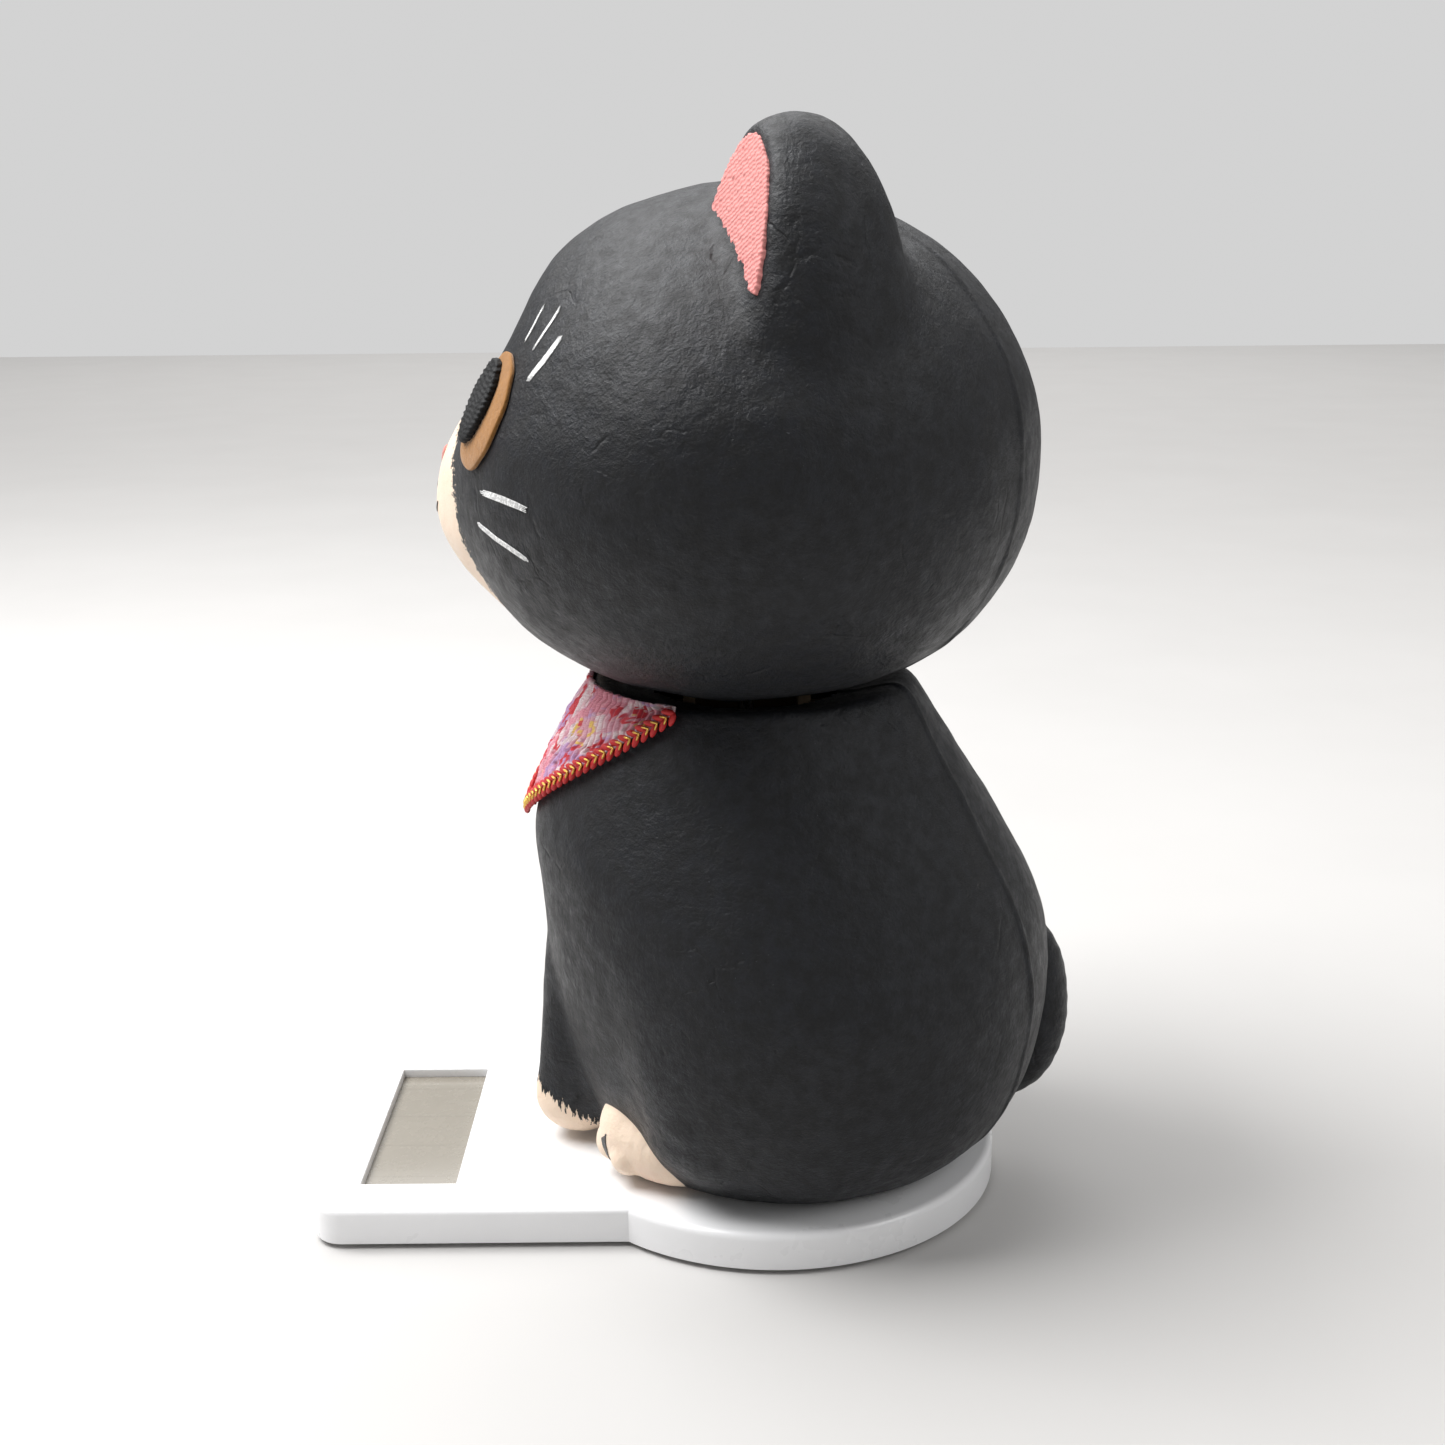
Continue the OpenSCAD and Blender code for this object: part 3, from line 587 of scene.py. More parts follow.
body_core = lofted("body_core", skin_stations)
print("body core:", tris(body_core), "triangles,", [round(1000 * v, 1) for v in body_core.dimensions])

# %% [markdown]
# ### Legs as lumps of clay
# A leg is a row of overlapping balls along a smooth line, as a sculptor presses pellets of clay together. A
# voxel remesh fuses the pellets, and the core with them, and smoothing then rubs out the steps. This gives the
# soft creases between leg and thigh that a loft or a mirrored box could not.

# %% Pellets
def pellets(name, stations, count):
    """Balls along a line. A station is x, y, height and three radii; y is from the stage's centre."""
    balls = []
    for i in range(count):
        x, y, h, rx, ry, rz = along(stations, (len(stations) - 1) * i / (count - 1))
        balls.append(ball(name, (x, STAGE_Y + y, CAT_Z + h), (rx, ry, rz), 24, 16))
    return joined(name, *balls)


fore_leg = pellets("fore_leg", [(1.5, -25.6, 36, 4.4, 3.2, 4), (2.4, -26, 26, 6.4, 4.6, 5), (3, -25.8, 16, 7.2, 5.4, 6),
                                (3, -25.8, 9, 7.4, 6, 6), (3, -26.2, 5.6, 7.2, 6.2, 5.4)], 18)
thighs = [pellets("thigh", [(side * 18, -4.6, 24, 8.6, 11, 9), (side * 19.6, -5, 14, 11, 13, 11),
                            (side * 17.6, -5, 9, 11, 12.4, 8.8)], 5) for side in (1, -1)]
body_core = joined("body_core", body_core, fore_leg, *thighs)
remesh(body_core, 0.75, 4)


def press_legs(p):
    """Presses the flank in before the thigh, so that the fore leg stands apart from it."""
    y, h = p.y - STAGE_Y, p.z - CAT_Z
    crease = -18.6 - 0.12 * (h - 20)
    low_down = max(0.0, min(1.0, (34 - h) / 16))
    ahead = max(0.0, min(1.0, (crease + 2 - y) / 4))
    beside = max(0.0, min(1.0, (abs(p.x) - 4) / 6))
    press = low_down * beside * (2.2 * ahead * ahead * (3 - 2 * ahead) + 0.7 * math.exp(-((y - crease) / 2.2) ** 2))
    return Vector((p.x - math.copysign(press, p.x), p.y, p.z))


moved(body_core, press_legs)


# %% [markdown]
# ### One skin of paper
# The fused core is remeshed, rubbed smooth, and made a little lumpy, since many layers of torn paper never lie
# quite flat. The seam, where the figure was cut open to free the mould and closed again, is a low ridge from
# the strip of paper over it. The mesh is first cut beside the seam, so that it has edges to form the ridge.

# %% Lumps and seams
def lumpy(obj, size, height, where=(0, 0, 0)):
    """Moves the skin in and out by a smooth noise, size and height in mm."""
    shift = Vector(where)
    normals = [v.normal.copy() for v in obj.data.vertices]
    for v, normal in zip(obj.data.vertices, normals):
        p = v.co / MM
        v.co += normal * (height * MM * noise(p / size + shift))
    obj.data.update()


SEAM_TURN = 60
SEAM_WIDTH = 0.75


def seam_normal(side, ratio):
    turn = math.atan2(ratio * math.sin(math.radians(SEAM_TURN)), math.cos(math.radians(SEAM_TURN)))
    return Vector((math.sin(turn) * side, -math.cos(turn), 0))


def seamed(obj, centre_y, ratio, ridge):
    """Cuts the skin along both seams and beside them, and lifts a ridge over each."""
    centre = Vector((0, centre_y, 0))
    for side in (1, -1):
        across = seam_normal(side, ratio)
        edit(obj)
        for offset in (-1, -0.5, 0, 0.5, 1):
            pick(obj, "FACE", lambda p: p.y > centre_y and abs((p - centre).dot(across)) < 3 and p.x * side > -0.5)
            spot = centre + across * offset * SEAM_WIDTH
            bpy.ops.mesh.bisect(plane_co=spot * MM, plane_no=across)
        done()
        for v in obj.data.vertices:
            p = v.co / MM - centre
            near = 1 - (p.dot(across) / SEAM_WIDTH) ** 2
            if near > 0 and p.y > 0 and p.x * side > 0:
                wobble = 0.7 + 0.5 * noise(p / 6)
                v.co += v.normal * (ridge * MM * near * wobble)
        obj.data.update()


def split_back(obj, centre_y, ratio, name):
    """Separates the panel between the seams, and returns the front and the panel."""
    lines = [seam_normal(side, ratio) for side in (1, -1)]
    edit(obj)
    pick(obj, "FACE", lambda p: False)
    mesh = bmesh.from_edit_mesh(obj.data)
    for face in mesh.faces:
        p = face.calc_center_median() / MM - Vector((0, centre_y, 0))
        face.select_set(p.y > 0 and all(p.dot(line) < 0 for line in lines))
    bmesh.update_edit_mesh(obj.data)
    bpy.ops.mesh.separate(type="SELECTED")
    done()
    panel = next(o for o in bpy.context.selected_objects if o is not obj)
    panel.name = panel.data.name = name
    return obj, panel


def walled(obj, thickness=PAPER):
    """Gives an open skin its thickness, inwards."""
    add_modifier(obj, "SOLIDIFY", thickness=thickness * MM, offset=-1, use_even_offset=False, use_rim=True)
    return smooth(obj, 50)


# %% The body's two shells
remesh(body_core, 0.75, 10)
lumpy(body_core, 9, 0.28)
lumpy(body_core, 2.6, 0.07, (5, 1, 2))
seamed(body_core, STAGE_Y + 3, 33.0 / 34.0, 0.32)
edit(body_core)
lip_top = CAT_Z + skin_stations[-1][0]
pick(body_core, "FACE", lambda p: (p.z > lip_top - 1.2 and (p.xy - Vector((0, NECK_Y))).length < skin_stations[-1][3] - 1)
     or p.z < CAT_Z + 0.25)
bpy.ops.mesh.delete(type="FACE")
done()
body_front, body_back = split_back(body_core, STAGE_Y + 3, 33.0 / 34.0, "body_back")
body_front.name = body_front.data.name = "body_front"
for part in (body_front, body_back):
    walled(part)
PAW = painted_paw("charcoal_washi_cream_paw", 0.2, 0.606, 3, 9)
finished(body_front, "root", "charcoal_paper", PAW, "body_front_shell", "left_foreleg")
finished(body_back, "root", "charcoal_paper", CHARCOAL, "body_back_panel")

# %% [markdown]
# ### Cream paper with a blush
# The hind paws are painted cream, with a pink blush on the outer side; the thin edge of dark fur strokes where
# they meet the body is not drawn. The blush is a soft round spot: the distance from a point on the paw, faded by a
# ramp.

# %% Cream paint
def cream_paper(name, blush_at, blush_size):
    """Cream, with a blush round a place (mirrored in x) of a size, both in mm."""
    finish = Finish(name, roughness=0.62, specular_ior_level=0.38, sheen_weight=0.15, subsurface_weight=0.04,
                    subsurface_scale=0.002)
    where, crease_lines_and_shade, fibres = paper_relief(finish, 0.6)
    xyz = finish.tree.nodes.new("ShaderNodeSeparateXYZ")
    finish.link(where, xyz.inputs["Vector"])
    folded = finish.tree.nodes.new("ShaderNodeCombineXYZ")
    finish.link(finish.math("ABSOLUTE", xyz.outputs["X"], 0), folded.inputs["X"])
    finish.link(xyz.outputs["Y"], folded.inputs["Y"])
    finish.link(xyz.outputs["Z"], folded.inputs["Z"])
    apart = finish.tree.nodes.new("ShaderNodeVectorMath")
    apart.operation = "DISTANCE"
    apart.inputs[1].default_value = blush_at
    finish.link(folded.outputs["Vector"], apart.inputs[0])
    spot = finish.math("DIVIDE", apart.outputs["Value"], blush_size)
    blush = finish.ramp(finish.math("MULTIPLY_ADD", finish.noise(where, 0.5, 3), 0.35, spot), (0.45, 0.85), (1.25, 0.0))
    cream = finish.mix(finish.noise(where, 0.35, 3), CREAM, (0.86, 0.70, 0.56))
    aged = finish.mix(finish.ramp(fibres, (0.6, 0.0), (0.85, 0.25)), cream, (0.62, 0.44, 0.31))
    finish.colour(finish.mix(blush, aged, BLUSH))
    return finish.material


CREAM_PAW = cream_paper("cream_washi_blushed", (17.6, STAGE_Y - 14.8, CAT_Z + 3.6), 5.2)

# %% [markdown]
# ### Paws, arm and tail
# These are pasted on as separate lumps, so each is its own piece: pellets fused and smoothed as before, with
# smaller pellets for the toes. The raised arm bends up beside the cheek with its paw turned forward.

# %% Hind paws
def hind_paw(side):
    foot = pellets("foot", [(side * 18, -10.5, 4.4, 4, 4.6, 4.4), (side * 17.4, -14, 5.2, 4.6, 5, 5.1),
                            (side * 14.2, -18.4, 6, 5, 4.6, 5.8)], 9)
    toes = [ball("toe", (side * x, STAGE_Y + y, CAT_Z + h), (2.6, 2.6, 2.9))
            for x, y, h in ((10.6, -20.6, 3.8), (13.8, -20.9, 4.2), (17, -19, 3.8))]
    foot = joined("foot", foot, *toes)
    edit(foot)
    bpy.ops.mesh.bisect(plane_co=at(0, 0, CAT_Z + 0.1), plane_no=(0, 0, 1), clear_inner=True, use_fill=True)
    done()
    remesh(foot, 0.32, 6)
    lumpy(foot, 3, 0.12, (side, 0, 0))
    return smooth(foot, 60)


for side, word in ((1, "left"), (-1, "right")):
    paw = hind_paw(side)
    paw.name = paw.data.name = word + "_hind_paw"
    finished(paw, "root", "cream_paper", CREAM_PAW, word + "_hind_foot")

# %% Raised arm
arm_line = [(-20, -10, 40, 5.4, 5.6, 5.4), (-26.4, -15.4, 49, 5.6, 5.4, 5.4), (-31, -19.6, 57, 5, 5, 5),
            (-33.6, -23, 65.4, 4.9, 5, 5), (-34.3, -25, 72, 5.1, 5.4, 5.2)]
arm = pellets("raised_arm", arm_line, 22)
pads = [ball("pad", (x, STAGE_Y + y, CAT_Z + h), (2, 2.4, 2.6))
        for x, y, h in ((-37, -28, 71.6), (-34.4, -28.6, 72.6), (-31.8, -28, 71.6))]
arm = joined("raised_arm", arm, *pads)
remesh(arm, 0.5, 8)
lumpy(arm, 5, 0.15)
smooth(arm, 60)
ARM = painted_paw("charcoal_washi_cream_hand", -(CAT_Z + 67), 0, 0, 50, up=-1)
finished(arm, "root", "charcoal_paper", ARM, "right_raised_arm")

# %% Tail
tail_line = [(0, 33.2, 28.6, 2.6, 2.2, 2.4), (0, 34.6, 24, 4.8, 4.2, 3.4), (0, 35, 17, 5.7, 5, 4.2),
             (0, 33.6, 9.6, 5.2, 4.8, 4), (0, 30.6, 5.6, 3.6, 3.2, 2.8)]
tail = pellets("cat_tail", tail_line, 16)
remesh(tail, 0.5, 8)
lumpy(tail, 6, 0.2, (3, 0, 0))
smooth(tail, 60)
finished(tail, "root", "charcoal_paper", CHARCOAL, "tail")

# %% [markdown]
# ## The head
# The head is a ball that is wider than it is tall, a little flatter below, with the brow set back above the
# muzzle. Each ear is a long ball cut by a slanted plane, which leaves a flat front. After the remesh, only the
# points close to where an ear meets the head are smoothed further, and this gives the soft hollow round its root.

# %% Ball of the head
def press_head(p):
    return head_point(math.atan2(p.y, p.x), math.asin(max(-1, min(1, p.z))))


head = moved(ball("head_core", (0, 0, 0), (1, 1, 1), 128, 80), press_head)

EAR_MIDDLE = Vector((23.5, NECK_Y + 5.2, HEAD_Z + 12.2))
EAR_RADII = Vector((13.2, 13.2, 26))
EAR_PLANE_AT = Vector((23.5, STAGE_Y - 5.0, 127))
EAR_PLANE_FACES = Vector((0.42, -1, 0.24)).normalized()
LINING_LOW = HEAD_Z + 21.5


def mirrored(p, side):
    return Vector((p.x * side, p.y, p.z))


def cut_ear(side):
    ear = ball("ear_core", mirrored(EAR_MIDDLE, side), EAR_RADII, 64, 48)
    edit(ear)
    bpy.ops.mesh.bisect(plane_co=mirrored(EAR_PLANE_AT, side) * MM, plane_no=mirrored(EAR_PLANE_FACES, side),
                        clear_outer=True, use_fill=True)
    done()
    return ear


ears = [cut_ear(side) for side in (1, -1)]
print("ear cut:", [[round(1000 * v, 1) for v in ear.dimensions] for ear in ears])

# %% [markdown]
# ### Crepe lining of the ear
# The lining is a scrap of pink crepe with the outline of the flat front, less a narrow margin. So the cut face
# itself is the pattern: it is copied before the ear is fused to the head, inset by the margin, and extruded to
# the thickness of the cloth. A fine remesh gives it enough points for real ridges.

# %% Lining cut from the ear's own face
def ear_lining(ear, side):
    lining = copy_of(ear, "ear_lining")
    faces = mirrored(EAR_PLANE_FACES, side)
    edit(lining)
    bpy.ops.mesh.select_mode(type="FACE")
    bpy.ops.mesh.select_all(action="DESELECT")
    mesh = bmesh.from_edit_mesh(lining.data)
    for face in mesh.faces:
        face.select_set(len(face.verts) < 12)
    bmesh.update_edit_mesh(lining.data)
    bpy.ops.mesh.delete(type="FACE")
    bpy.ops.mesh.select_all(action="SELECT")
    bpy.ops.mesh.inset(thickness=0.8 * MM)
    bpy.ops.mesh.select_all(action="INVERT")
    bpy.ops.mesh.delete(type="FACE")
    bpy.ops.mesh.select_all(action="SELECT")
    bpy.ops.mesh.bisect(plane_co=(EAR_MIDDLE.x * side * MM, 0, LINING_LOW * MM), plane_no=(0.2 * side, 0, 1),
                        clear_inner=True)
    bpy.ops.mesh.select_all(action="SELECT")
    bpy.ops.transform.translate(value=faces * 0.35 * MM)
    bpy.ops.mesh.extrude_region_move(TRANSFORM_OT_translate={"value": -faces * 1.1 * MM})
    bpy.ops.mesh.select_all(action="SELECT")
    bpy.ops.mesh.normals_make_consistent(inside=False)
    done()
    return lining


linings = [ear_lining(ear, side) for ear, side in zip(ears, (1, -1))]
print("lining outline:", [round(1000 * v, 1) for v in linings[0].dimensions])

# %% Fuse head and ears
head = joined("head_core", head, *ears)
remesh(head, 0.75, 5)


def root_of_ear(p):
    """1 where an ear meets the head, fading to 0 away from it."""
    side = 1 if p.x > 0 else -1
    e = p - mirrored(EAR_MIDDLE, side)
    ear = abs(math.sqrt(sum((e[k] / EAR_RADII[k]) ** 2 for k in range(3))) - 1) * 13
    h = p - Vector((0, NECK_Y, HEAD_Z))
    ball_gap = abs(math.sqrt((h.x / HEAD_A) ** 2 + (h.y / HEAD_B) ** 2 + (h.z / HEAD_C) ** 2) - 1) * 34
    return max(0.0, min(1.0, 1.5 - (ear + ball_gap) / 5)) if p.z > HEAD_Z + 8 else 0.0


group = head.vertex_groups.new(name="root")
for v in head.data.vertices:
    weight = root_of_ear(v.co / MM)
    if weight > 0:
        group.add([v.index], weight, "REPLACE")
add_modifier(head, "SMOOTH", factor=0.5, iterations=45, vertex_group="root")
head.vertex_groups.clear()
lumpy(head, 8, 0.26, (7, 2, 0))
lumpy(head, 2.4, 0.07, (1, 4, 2))
print("head core:", tris(head), "triangles")

# %% [markdown]
# The head is opened where the neck's cup enters it, and then cut and ridged at the seams as the body was. A
# copy of the closed skin is kept aside for the moment, because the eyes and the other scraps are pressed on it.

# %% The head's two shells
seamed(head, NECK_Y, HEAD_B / HEAD_A, 0.3)
form = copy_of(head, "head_form")
NECK_HOLE = 14.6
edit(head)
pick(head, "FACE", lambda p: p.z < HEAD_Z and (p.xy - Vector((0, NECK_Y))).length < NECK_HOLE)
bpy.ops.mesh.delete(type="FACE")
done()
head_front, head_back = split_back(head, NECK_Y, HEAD_B / HEAD_A, "head_back")
head_front.name = head_front.data.name = "head_front"
for part in (head_front, head_back):
    walled(part)
finished(head_front, "head", "charcoal_paper", CHARCOAL, "head_front_shell", "left_ear", "right_ear")
finished(head_back, "head", "charcoal_paper", CHARCOAL, "head_back_panel")

# %% [markdown]
# ## Eyes, muzzle and other scraps
# The eyes are felt and crepe ovals glued to the paper. By hand, each starts as a flat disc held in front of the
# head and facing it. Insets give it rings of points, a shrinkwrap presses it on the skin, and a solidify and a
# bevel give it the thickness and the soft edge of cut cloth. Scissors wander, so the outline is uneven.

# %% Pressing a flat scrap on the head
def face_axes(turn, rise):
    """Place, rightward, upward and outward directions of the skin at a turn and a rise, in degrees."""
    t, r, step = math.radians(turn), math.radians(rise), 0.02
    spot = head_point(t, r)
    right = (head_point(t + step, r) - spot).normalized()
    up = (head_point(t, r + step) - spot).normalized()
    out = right.cross(up).normalized()
    return spot, right, out.cross(right), out


def scrap(name, turn, rise, half_w, half_h, lift, thick, target, wander=0.15, rings=6, edge=0.2, dome=0):
    spot, right, up, out = face_axes(turn, rise)
    bpy.ops.mesh.primitive_circle_add(vertices=72, radius=MM, fill_type="NGON")
    disc = bpy.context.object
    disc.name = disc.data.name = name
    disc.scale = (half_w, half_h, 1)
    bpy.ops.object.transform_apply(location=False, rotation=False, scale=True)
    edit(disc)
    for _ in range(rings):
        bpy.ops.mesh.inset(thickness=min(half_w, half_h) / (rings + 1.5) * MM)
    bpy.ops.mesh.poke()
    done()
    moved(disc, lambda p: p * (1 + wander / half_h * noise(p.normalized() * 3 + Vector((turn, rise, half_w)))))
    fullness = [max(0, 1 - (v.co.x / half_w) ** 2 / MM ** 2 - (v.co.y / half_h) ** 2 / MM ** 2)
                for v in disc.data.vertices]
    disc.matrix_world = (Matrix.Translation((spot + out * 12) * MM)
                         @ Matrix((right, up, out)).transposed().to_4x4())
    bpy.context.view_layer.update()
    add_modifier(disc, "SHRINKWRAP", target=target, wrap_method="PROJECT", use_project_z=True,
                 use_negative_direction=True, use_positive_direction=False, offset=lift * MM)
    settle(disc)
    for v, full in zip(disc.data.vertices, fullness):
        v.co += out * (dome * full ** 1.4 * MM)
    add_modifier(disc, "SOLIDIFY", thickness=thick * MM, offset=1, use_even_offset=False)
    add_modifier(disc, "BEVEL", width=edge * MM, segments=3, limit_method="ANGLE", angle_limit=math.radians(50))
    edit(disc)
    bpy.ops.mesh.normals_make_consistent(inside=False)
    done()
    return smooth(disc, 60)


def ridged(obj, direction, pitch, height, bend=0.9):
    """Raises crepe ridges across a direction: a wave whose phase is bent by a noise."""
    across = direction.normalized()
    normals = [v.normal.copy() for v in obj.data.vertices]
    for v, normal in zip(obj.data.vertices, normals):
        p = v.co / MM
        phase = p.dot(across) / pitch + bend * noise(p * 0.5) + 0.35 * noise(p * 1.7)
        v.co += normal * (height * MM * math.sin(2 * math.pi * phase) * (0.75 + 0.5 * noise(p * 0.9)))
    obj.data.update()


# %% [markdown]
# ### Felt and crepe
# Felt is matted wool: a matte surface with short fibres in all directions and a clear sheen. Crepe is thin woven
# silk with hard twisted threads, so it puckers in fine ridges. The ridges are in the mesh here, and the material
# only adds the weave and a slight change of colour. On the bib, the valleys between the ridges are also darkened,
# as painted shade.

# %% Felt, crepe and weave
def felt(name, deep, light):
    finish = Finish(name, roughness=0.85, specular_ior_level=0.25, sheen_weight=0.35, sheen_roughness=0.4)
    where = finish.place()
    fibres = finish.noise(finish.place((1, 1, 0.4)), 5.5, 5, 0.75, 1.2)
    clumps = finish.noise(where, 1.4, 4)
    tone = finish.mix(clumps, deep, light)
    finish.colour(finish.mix(finish.ramp(fibres, (0.5, 0.0), (0.78, 0.55)), tone, tuple(min(1, 1.4 * c) for c in light)))
    finish.bump(clumps, 0.16)
    finish.bump(fibres, 0.10)
    return finish.material


def crepe(name, deep, light, turn=0.0, sheen=0.2):
    finish = Finish(name, roughness=0.66, specular_ior_level=0.25, sheen_weight=sheen, sheen_roughness=0.35)
    where = finish.place()
    mapping = where.node
    mapping.inputs["Rotation"].default_value = (0, turn, 0)
    threads = finish.tree.nodes.new("ShaderNodeTexWave")
    threads.bands_direction = "Z"
    threads.inputs["Scale"].default_value = 0.55
    threads.inputs["Distortion"].default_value = 3.0
    threads.inputs["Detail"].default_value = 3
    threads.inputs["Detail Scale"].default_value = 1.4
    finish.link(where, threads.inputs["Vector"])
    tone = finish.mix(finish.noise(where, 1.1, 4), deep, light)
    finish.colour(finish.mix(finish.ramp(threads.outputs["Fac"], (0.2, 0.0), (0.9, 0.5)), tone,
                             tuple(min(1, 1.25 * c) for c in light)))
    finish.bump(threads.outputs["Fac"], 0.06)
    finish.bump(finish.noise(where, 7, 3), 0.04)
    return finish.material


AMBER = felt("amber_felt", (0.24, 0.10, 0.022), (0.42, 0.20, 0.055))
BLACK_CREPE = crepe("black_crepe", (0.0015, 0.0015, 0.002), (0.005, 0.0055, 0.0065), sheen=0.02)
PINK_CREPE = crepe("pink_crepe", (0.50, 0.15, 0.145), (0.70, 0.29, 0.27), 0.5)

# %% Ear linings
skull = moved(ball("skull", (0, 0, 0), (1, 1, 1), 64, 40),
              lambda p: head_point(math.atan2(p.y, p.x), math.asin(max(-1, min(1, p.z))), -1.2))
for lining, side, word in zip(linings, (1, -1), ("left", "right")):
    cut(lining, skull)
    lining.name = lining.data.name = word + "_ear_crepe"
    remesh(lining, 0.28, 3)
    ridged(lining, Vector((0.75 * side, 0.2, 0.65)), 0.85, 0.10)
    smooth(lining, 80)
    finished(lining, "head", "pink_crepe", PINK_CREPE, word + "_ear_lining")
drop(skull)

# %% Eyes
for side, word in ((1, "left"), (-1, "right")):
    eye = scrap(word + "_felt_eye", -90 + 25 * side, 11.5, 6.6, 7.1, 0.05, 0.55, form, 0.16)
    finished(eye, "head", "amber_felt", AMBER, word + "_eye")
    pupil = scrap(word + "_crepe_pupil", -90 + 22.6 * side, 12.7, 4.5, 5.2, 0.55, 0.85, form, 0.16)
    remesh(pupil, 0.22, 2)
    ridged(pupil, Vector((0.15, 0.1, 1)), 0.62, 0.10, 0.5)
    smooth(pupil, 80)
    finished(pupil, "head", "black_crepe", BLACK_CREPE, word + "_pupil")

# %% [markdown]
# ### Muzzle and nose
# The muzzle is a soft pad under the paper, painted cream. Its edge is brushed out into the charcoal as fur, so
# the pad is a little larger than the cream, and a ragged ellipse in the material draws the edge of the paint.

# %% Cream muzzle
def brushed_cream(name, middle, half_w, half_h):
    finish = Finish(name, roughness=0.62, specular_ior_level=0.38, sheen_weight=0.12)
    where, crease_lines_and_shade, fibres = paper_relief(finish, 0.7)
    mapping = finish.node("ShaderNodeMapping")
    mapping.vector_type = "TEXTURE"
    mapping.inputs["Location"].default_value = middle
    mapping.inputs["Scale"].default_value = (half_w, 1000, half_h)
    finish.link(where, mapping.inputs["Vector"])
    length = finish.tree.nodes.new("ShaderNodeVectorMath")
    length.operation = "LENGTH"
    finish.link(mapping.outputs["Vector"], length.inputs[0])
    ragged = finish.math("MULTIPLY_ADD", finish.noise(where, 1.5, 4, 0.7), 0.34, length.outputs["Value"])
    mask = finish.ramp(ragged, (0.50, 0.0), (1.0, 0.0), (1.12, 1.0))
    cream = finish.mix(finish.noise(where, 0.35, 3), CREAM, (0.86, 0.70, 0.56))
    finish.colour(finish.mix(mask, cream, charcoal_colour(finish, where, crease_lines_and_shade, fibres)))
    return finish.material


MUZZLE_AT = (0, NECK_Y - HEAD_B, HEAD_Z - 8.4)
muzzle = scrap("muzzle_pad", -90, -14, 14.8, 16, -1.35, 0.9, form, 0.3, rings=10, dome=3.4)
remesh(muzzle, 0.4, 4)
lumpy(muzzle, 5, 0.15)
smooth(muzzle, 70)
finished(muzzle, "head", "cream_paper", brushed_cream("cream_washi_muzzle", MUZZLE_AT, 14, 16), "muzzle")

# %% Nose
spot, right, up, out = face_axes(-90, -2)
_, spot, _, _ = muzzle.ray_cast((spot + out * 12) * MM, -out)
spot = spot / MM
nose = ball("nose_bead", (0, 0, 0), (1, 1, 1), 32, 20)
moved(nose, lambda p: spot + out * (0.45 * p.y - 0.1) + right * p.x * (1.75 + 0.65 * p.z) + up * 1.35 * p.z)
edit(nose)
bpy.ops.mesh.normals_make_consistent(inside=False)
done()
smooth(nose, 80)
finished(nose, "head", "pink_crepe", felt("rose_felt", (0.50, 0.16, 0.14), (0.66, 0.27, 0.23)), "nose")

# %% [markdown]
# ### Brush strokes
# The brows and whiskers are single strokes of white with a dry brush. Each is a few thin ribbons side by side,
# one for each tuft of bristles, which start and stop at different places. A ribbon is a grid that is bent between
# two points, tapered at both ends and pressed on the skin. The strokes are mirrored for the right side.

# %% Paint strokes
def ribbon(name, start, end, outward, width, shift, begin, stop, bow):
    bpy.ops.mesh.primitive_grid_add(x_subdivisions=20, y_subdivisions=3, size=MM)
    strip = bpy.context.object
    strip.name = strip.data.name = name
    line = end - start
    aside = line.cross(outward).normalized()

    def lay(p):
        s = begin + (stop - begin) * (p.x + 0.5)
        taper = math.sin(math.pi * min(max(p.x + 0.5, 0.04), 0.96)) ** 0.5
        return start + line * s + aside * (shift + 2 * p.y * width * taper + bow * math.sin(math.pi * s))

    return moved(strip, lay)


def stroke(name, start, end, width, bow, target, tufts=4, lift=0.07, thick=0.09):
    start, end = Vector(start), Vector(end)
    middle = (start + end) / 2 - Vector((0, NECK_Y, HEAD_Z))
    outward = Vector((middle.x / HEAD_A ** 2, middle.y / HEAD_B ** 2, middle.z / HEAD_C ** 2)).normalized()
    strips = []
    for k in range(tufts):
        place = (k + 0.5) / tufts - 0.5 if tufts > 1 else 0
        ragged = noise(start + Vector((k * 1.7, 0, 0))) * 0.12
        strips.append(ribbon(name, start, end, outward, width / tufts * 0.62, place * width,
                             max(0.0, 0.05 + ragged), 1 - abs(place) * 0.25 + ragged, bow))
    strips = joined(name, *strips)
    add_modifier(strips, "SHRINKWRAP", target=target, wrap_method="NEAREST_SURFACEPOINT",
                 wrap_mode="ABOVE_SURFACE", offset=lift * MM)
    add_modifier(strips, "SOLIDIFY", thickness=thick * MM, offset=0, use_even_offset=False)
    return strips


def paint(name, colour, shade, roughness=0.55):
    finish = Finish(name, roughness=roughness, specular_ior_level=0.4)
    where = finish.place()
    finish.colour(finish.mix(finish.ramp(finish.noise(where, 3.2, 4), (0.4, 0.0), (0.62, 1.0)), shade, colour))
    finish.bump(finish.noise(where, 8, 3), 0.03)
    return finish.material


WHITE_PAINT = paint("white_paint", (0.86, 0.86, 0.85), (0.5, 0.5, 0.5))
BLACK_PAINT = paint("black_paint", (0.012, 0.011, 0.011), (0.03, 0.026, 0.025), 0.4)


